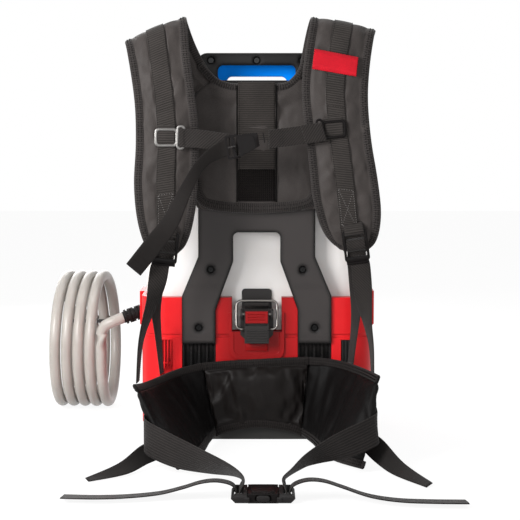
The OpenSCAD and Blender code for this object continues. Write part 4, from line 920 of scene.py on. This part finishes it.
strap("left", left_outer, left_inner)
right_lines = strap("right", right_outer, right_inner)
red_patch = woven("red_woven_patch", (0.43, 0.005, 0.014), 0.0009, 0.0009, depth=0.0001,
                  sheen=0.05, rough=0.6)
start = 5 * STRAP_STEPS + 6
patch = lane(right_lines, 3, 66, 8.6, start, start + 5)
ribbon("right_red_patch", patch, 0.6, red_patch, 0.3, ())
stitches("right_patch_stitches",
         rows_of(patch, (-32.8, 32.8), 0.6) + [cross_row(patch, i, (-32.5, 32.5), 0.6)
                                                for i in (0, -1)], thread, 0.0006, 0.003, 0.002)

# ---------------------------------------------------------------- Ladder locks and lower webbing
# Below each shoulder pad hangs a moulded ladder lock with three bars. Twill webbing is threaded
# over its middle bar: one end runs down to the base and the other turns out to the hip wing.
twill_band = woven("black_twill_webbing", (0.0155, 0.013, 0.012), 0.0, 0.0, twill=0.0044,
                   depth=0.0008)
soft_band = woven("black_soft_webbing", (0.0075, 0.006, 0.0055), 0.0012, 0.0, depth=0.0001,
                  sheen=0.06)
glossy_black = moulded("polished_black_plastic", (0.0055, 0.0045, 0.0045), 0.3, 0.12, edge=0.0006,
                       lift=0.35, gloss=0.06)


def leaning(points, place, lean):
    """Points about a fitting's centre, turned with it and put in their place."""
    c, n = math.cos(math.radians(lean)), math.sin(math.radians(lean))
    return [(place[0] + x * c + z * n, place[1] + y, place[2] + z * c - x * n)
            for x, y, z in points]


def strip(name, points, width, finish=twill_band, nodes=(), place=None, lean=0):
    """Webbing along points x, y, z, of which a fourth number gives the angle it has turned by."""
    middle = np.array([p[:3] for p in points])
    turns = np.radians([p[3] if len(p) > 3 else 0 for p in points])
    half = np.stack([np.cos(turns), np.sin(turns), turns * 0], axis=1) * width / 2
    a, b = middle + half, middle - half
    if place:
        a, b = leaning(a, place, lean), leaning(b, place, lean)
    lines = edges_of(a, b, 7)
    ribbon(name, lines, WEBBING, finish, 0.3, nodes)
    return lines


def ladder_lock(side, place, lean):
    """One ladder lock with the webbing loop that holds it and the webbing threaded through it."""
    wide, rail = 37, 3.6
    adds = [block((wide, 5, 46), radius=4),
            turned(block((33, 9, 3), (0, -1.5, -23.5), 0, 1.4), 28, 0, (0, 0, -22))]
    cuts = [block((wide - 2 * rail, 12, high), (0, 0, z), 1, 1.5)
            for high, z in ((15.5, 10.2), (13, -9.8))]
    cast(side + "_ladder_lock", glossy_black, adds, cuts, 0.9, place, lean)
    strip(side + "_lock_loop", [(0, 7, 34), (0, 1.2, 29), (0, -3.4, 24), (0, -3.9, 20),
                                (0, -1.5, 16.5), (0, 5, 17)], 28, finish=shoulder_band, place=place,
          lean=lean)
    strip(side + "_lock_wrap", [(0, 5, -17), (0, 3, -9), (0, -3.0, -5.5), (0, -4.6, 0),
                                (0, -2.6, 7), (0, 3.4, 10)], 27, place=place, lean=lean)


ladder_lock("left", (-134, -85.6, 302), 6)
ladder_lock("right", (146, -85.0, 305), -8)
for side in ("left", "right"):
    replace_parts(bpy.data.objects[side + "_ladder_lock"], "ladder_lock_" + side)
for side, rear, front in (
        ("left", [(-136, -79.6, 292, 0), (-140, -79.6, 276, 0), (-148, -66, 245, 20),
                  (-151, -46, 205, 52), (-149, -26, 165, 68), (-145, -5.2, 104, 80)],
         [(-136, -80.2, 288, 0), (-142, -86, 276, 0), (-146, -88, 252, 15), (-152, -91, 225, 46),
          (-162, -98, 195, 66), (-170, -112, 160, 80), (-173, -129, 109, 86)]),
        ("right", [(145, -79.6, 294, 0), (145, -79.6, 279, 0), (148, -66, 245, -20),
                   (149, -46, 205, -50), (147, -26, 165, -65), (143, -5.2, 118, -70)],
         [(149, -80.2, 290, 0), (153, -86, 278, 0), (156, -88, 245, -10), (159, -92, 215, -42),
          (163, -99, 190, -66), (168, -112, 158, -80), (168.9, -129, 119, -86)])):
    strip(side + "_base_strap", rear, 22, nodes=("lower_webbing_" + side,))
    lines = strip(side + "_hip_strap", front, 28)
    stitches(side + "_hip_strap_stitches", rows_of(lines, (-12, 12), 1.0), thread, 0.0006, 0.003,
             0.002)

# ---------------------------------------------------------------- Sternum strap
# Twill webbing across the chest, with a side-release buckle in its middle. A steel slider and
# D-ring hold it at the left, a moulded slider and loop at the right, both threaded on the pads'
# webbing. The long free end of its left half hangs down across the left shoulder pad.
steel = Finish("nickel_plate", Base_Color=(0.14, 0.135, 0.13), Metallic=1.0)
steel.set(Roughness=steel.noise(300, 2, 0.5) * 0.12 + 0.32)


def slider(name, finish, place, lean, size, bar):
    """A slider frame with the webbing that rises through it and goes down again."""
    w, h = size
    adds = [block((w, 3.4, h), radius=6)]
    cuts = [block((w - 2 * bar, 9, h - 2 * bar), radius=3.5)]
    made = cast(name, finish, adds, cuts, 1.1, place, lean)
    strip(name + "_web", [(0, 4.4, h * 0.62), (0, 2.0, h * 0.45), (0, -0.6, h * 0.25),
                          (0, -1.7, 0), (0, -0.6, -h * 0.25), (0, 2.0, -h * 0.45),
                          (0, 4.4, -h * 0.62)], w - 2 * bar - 1, finish=shoulder_band,
          place=place, lean=lean)
    return made


left_slider = slider("steel_slider", steel, (-132.2, -85.8, 463.5), 0, (34.5, 27.5), 4)
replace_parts(left_slider, "sternum_fittings")
slider("moulded_slider", glossy_black, (113.5, -84.6, 475.5), -5, (35.5, 27), 4)
cast("steel_d_ring", steel, [block((13, 3.4, 36), radius=5.5)],
     [block((6.4, 9, 29), radius=3)], 1.1, (-111, -87.4, 463.5), 2)
cast("moulded_loop", glossy_black, [block((11, 3.4, 35), radius=4.5)],
     [block((5, 9, 28), radius=2)], 1.1, (93, -86.6, 473.5), -6)
for side, points in (("left", [(-113, -84, 463), (-111.5, -89.5, 463), (-100, -90.8, 462.5),
                               (-80, -94, 461), (-38.8, -96, 455)]),
                     ("right", [(17.6, -96, 461), (50, -93, 465), (80, -90, 469),
                                (93, -89.4, 471), (95, -84, 471.5)])):
    chest = either_side(points, np.array([0, 0, 13.6]), 9)
    ribbon(side + "_chest_strap", chest, HEAVY_WEBBING, twill_band, 0.4,
           ("sternum_strap_" + side,))
    sewn_at = (14, 15) if side == "left" else (5, 6)
    stitches(side + "_chest_stitches", [cross_row(chest, i, (-11, 11), 1.3) for i in sewn_at])
chest_fold = [(99, -90.8, 472), (84, -91.8, 470), (68, -93.4, 467.5)]
ribbon("chest_strap_fold", either_side(chest_fold, np.array([4, 0, -13.4]), 6), WEBBING,
       twill_band, 0.4)
buckle_at, buckle_lean = (-14, -96, 453.5), -10
adds = [block((36, 9.6, 31), radius=4), block((20, 7, 35), (-21, 0, 0), 1, 3),
        block((14, 5, 31), (20, 0, 3), 1, 4), block((26, 2.4, 25), (-1, -4.6, 0), 1, 6)]
cuts = [block((6, 14, 28), (-25, 0, 0), 1, 1), block((4, 14, 28), (-15.4, 0, 0), 1, 1),
        block((7, 14, 25), (21.5, 0, 3), 1, 2),
        turned(block((44, 20, 12), (10, 0, -21.5)), -20, 1, (-10, 0, -15.5)),
        turned(block((30, 20, 6), (22, 0, 18.4)), 8, 1, (8, 0, 15.5))]
buckle = cast("chest_buckle", glossy_black, adds, cuts, 0.8, buckle_at, buckle_lean)
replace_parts(buckle, "sternum_buckle")
strip("chest_buckle_web", [(-28, 3, 0, 90), (-25, -1, 0, 90), (-21, -5, 0, 90),
                           (-17.6, -3.6, 0, 90), (-16.5, 2, 0, 90)], 22, place=buckle_at,
      lean=buckle_lean)
tail = edges_of([(-38.4, -98.1, 438), (-52, -99, 433), (-68, -106, 425), (-80, -113, 412),
                 (-90, -118, 393), (-101, -121, 367), (-113, -120, 337), (-133, -112, 307),
                 (-169.7, -104, 262)],
                [(-40, -98.1, 465), (-52, -99, 458.5), (-71, -107, 446), (-90, -116, 426),
                 (-105, -118, 402), (-121, -117, 374), (-136, -116, 347), (-156, -115, 323),
                 (-190, -111, 280)], 7)
ribbon("chest_strap_tail", tail, HEAVY_WEBBING, soft_band, 0.5, ("sternum_tail",))
stitches("chest_tail_stitches", [cross_row(tail, i, (-11, 11), 1.3) for i in (-4, -3)])

# ---------------------------------------------------------------- Lumbar pad and hip wings
# A foam pad in smooth black cloth behind the wearer's back. At each side it runs into a padded
# wing that reaches forward round the hip. All their edges are bound with tape.
satin_cloth = woven("black_satin_cloth", (0.0052, 0.0038, 0.0034), 0.0009, 0.0009, depth=0.0001,
                    sheen=0.03, rough=0.42, crumple=0.008)
hip_tape = woven("black_hip_tape", (0.0105, 0.0085, 0.008), 0.0, 0.0032, depth=0.0006, sheen=0.04)
# Painted shade: the wings' inward faces use the satin cloth made far darker and duller.
shaded_wing_cloth = woven("black_wing_cloth_painted_dark", (0.0008, 0.0004, 0.0004), 0.0009, 0.0009, depth=0.0001,
                     sheen=0.0, rough=0.6, crumple=0.006)
LUMBAR_Y = -2.3
lumbar_top = [(-83, LUMBAR_Y, 119), (-45, LUMBAR_Y, 122), (0, LUMBAR_Y, 124.5),
              (45, LUMBAR_Y, 127), (80, LUMBAR_Y, 128)]
lumbar_low = [(-62, LUMBAR_Y - 1, 6), (-46, LUMBAR_Y - 2, 13), (0, LUMBAR_Y - 4, 21),
              (50, LUMBAR_Y - 2, 14), (68, LUMBAR_Y - 1, 6)]
wings = {"left": ([(-84.8, LUMBAR_Y - 0.5, 119), (-122, -26, 112), (-150, -80, 107),
                   (-166, -130, 107), (-174, -196, 115)],
                  [(-63.8, LUMBAR_Y - 1.5, 8), (-72, -60, 6), (-77, -125, 6), (-88, -195, 6),
                   (-108, -256, 6)]),
         "right": ([(81.8, LUMBAR_Y - 0.5, 128), (124, -26, 126), (152, -80, 124),
                    (166, -130, 124), (174, -190, 127)],
                   [(69.8, LUMBAR_Y - 1.5, 8), (84, -60, 6), (94, -125, 6), (112, -195, 6),
                    (147, -252, 6)])}
lumbar, lumbar_lines = sewn_pad("lumbar_cushion", lumbar_top, lumbar_low, 12, satin_cloth,
                                steps=10, puffing=5.0, most=0.005, slack=0.05, ends=(5, 5))
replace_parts(lumbar, "lumbar_pad")
crease(lumbar, (84, 95, 49, 22, 8, -2.5), (-37, 100, -22, 30, 5, 2), (-55, 102, -32, 40, 5, 1.5),
       (-12, 105, -8, 60, 8, -1.2), (30, 100, 35, 60, 9, 1), (70, 70, 40, 20, 5, 1.5))
folds = {"left": [(-124, 95, -82, 40, 4, 1.8), (-112, 100, -74, 30, 5, -1.8),
                  (-146, 92, -110, 30, 6, 1.6)],
         "right": [(100, 115, 85, 45, 5, 1.8), (114, 92, 110, 50, 5, -1.6),
                   (158, 104, 144, 55, 6, 1.8), (134, 100, 126, 40, 6, 1.4)]}


def bind_both(name, lines):
    """Tape along a pad's upper and lower edge."""
    for part, edge in zip(("_top_tape", "_low_tape"), lines):
        bound(name + part, edge, lines[2], lines[3], 11, 2.2, hip_tape)


bind_both("lumbar", lumbar_lines)
for side, (top, low) in wings.items():
    a, b = (top, low) if side == "left" else (low, top)
    wing, _ = sewn_pad(side + "_hip_wing", a, b, 12, shaded_wing_cloth, steps=10, puffing=4.0,
                       most=0.004, slack=0.05, ends=(5, 6))
    crease(wing, *folds[side])
    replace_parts(wing, "hip_wing_" + side)
    bind_both(side + "_wing", edges_of(top, low, 10))

# ---------------------------------------------------------------- Waist belt
# Heavy ribbed webbing, 50 mm wide, sewn to the outside of each wing. Both halves run forward to a
# moulded push-button buckle that lies on the floor, and their free ends spread out to the sides.
belt_band = woven("black_belt_webbing", (0.0095, 0.0076, 0.0070), 0.0040, 0.0, depth=0.0010,
                  sheen=0.06, rough=0.62)


# How far the belt's middle lies from the middle of a wing, in metres.
BELT_OUT = 0.0073


def wing_point(side, share, way):
    """A point on the outside of a hip wing, on its fourth station."""
    top, low = wings[side]
    a, b = to_metres(top), to_metres(low)
    m = unit(np.cross(unit(a[4] + b[4] - a[2] - b[2]), a[3] - b[3]))
    return tuple((a[3] + (b[3] - a[3]) * share + m * way * BELT_OUT + (0, MID_Y, 0)) * 1000)


left_waist = edges_of(
    [wing_point("left", 0.25, 1), (-158, -195, 75), (-155, -224, 70), (-130, -256, 62),
     (-84, -302, 48), (-40, -365, 38), (-20, -398, 30), (-15, -425, 24), (-20.5, -441, 15),
     (-21.6, -442, 6)],
    [wing_point("left", 0.68, 1), (-146, -205, 32), (-157, -228, 26), (-141, -254, 19),
     (-107, -282, 12), (-66, -314, 12), (-34, -338, 14), (-19, -375, 17), (-20.5, -393, 14.5),
     (-21.6, -394, 6)], 8)
right_waist = edges_of(
    [wing_point("right", 0.2, -1), (171, -190, 80), (161, -222, 74), (108, -258, 55),
     (68, -310, 39), (46, -372, 30), (34, -412, 25), (38.4, -441, 15), (39.6, -442, 6)],
    [wing_point("right", 0.6, -1), (163, -215, 42), (170, -232, 36), (133, -262, 25),
     (82, -294, 21), (62, -330, 22), (40, -372, 18), (38.4, -393, 14.5), (39.6, -394, 6)], 8)
for side, lines in (("left", left_waist), ("right", right_waist)):
    ribbon(side + "_waist_band", lines, HEAVY_WEBBING, belt_band, 0.5, ("waist_webbing_" + side,))
belt_at = (9, -419, 0.5)
adds = [block((39, 58, 12.6), (0, 0, 6.5), 2, 4), block((30, 50, 1.6), (0, 0, 13), 2, 8)]
cuts = [block((21, 14, 8), (0, -32, 6.8), 1, 3.9), block((60, 12, 8), (0, -35, 15))]
body = cast("belt_buckle", glossy_black, adds, cuts, 0.8, belt_at)
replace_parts(body, "waist_buckle")
cast("belt_buckle_button", fitting_black, [block((17, 9, 7.4), (0, -27.5, 6.8), 1, 3.4)], (), 0.7,
     belt_at)
for way in (-1, 1):
    adds = [block((21, 62, 11), (31 * way, 0, 6.5), 2, 6),
            block((6, 66, 7), (20.5 * way, 0, 5), 2, 1)]
    cuts = [block((11, 51, 20), (32 * way, 3, 6.5), 2, 2), block((30, 30, 9), (31 * way, -40, 16))]
    cuts[1] = turned(cuts[1], 30, 0, (0, -26, 12))
    cuts += [turned(block((9, 80, 9), (42 * way, 0, z)), 45, 1, (42 * way, 0, z)) for z in (1, 12)]
    cast(("left", "right")[way > 0] + "_belt_loop", fitting_black, adds, cuts, 0.8, belt_at)
for side, points, nodes in (
        ("left", [(-26, -418, 5), (-26.2, -418, 14), (-34, -416, 20.5), (-52, -412, 23),
                  (-72, -408, 20), (-95, -408, 13), (-125, -412, 6.5), (-165, -422, 4.5),
                  (-205, -428, 4.5), (-250, -424, 4.5)], ("waist_tails",)),
        ("right", [(44, -418, 5), (44.2, -418, 14), (52, -416, 20.5), (68, -412, 24),
                   (88, -410, 22), (112, -414, 15), (145, -430, 7), (182, -446, 4.5),
                   (225, -454, 4.5), (268, -456, 4.5)], ())):
    ribbon(side + "_waist_tail", either_side(points, np.array([0, 25, -3]), 8), HEAVY_WEBBING,
           belt_band, 0.3, nodes)
hang = {"left": ([(-130, -186, 33), (-160, -208, 32), (-190, -262, 16), (-232, -306, 4)],
                 [(-121, -194, 14.2), (-150, -222, 8), (-178, -280, 4), (-226, -318, 2)]),
        "right": ([(153.6, -182, 50.7), (178, -200, 38), (204, -262, 16), (236, -338, 4)],
                  [(145.6, -192, 26.7), (166, -222, 10), (188, -284, 4), (226, -356, 2)])}
for side, (a, b) in hang.items():
    ribbon(side + "_wing_tail", edges_of(a, b, 8), WEBBING, soft_band, 0.3,
           ("wing_tails",) if side == "left" else ())
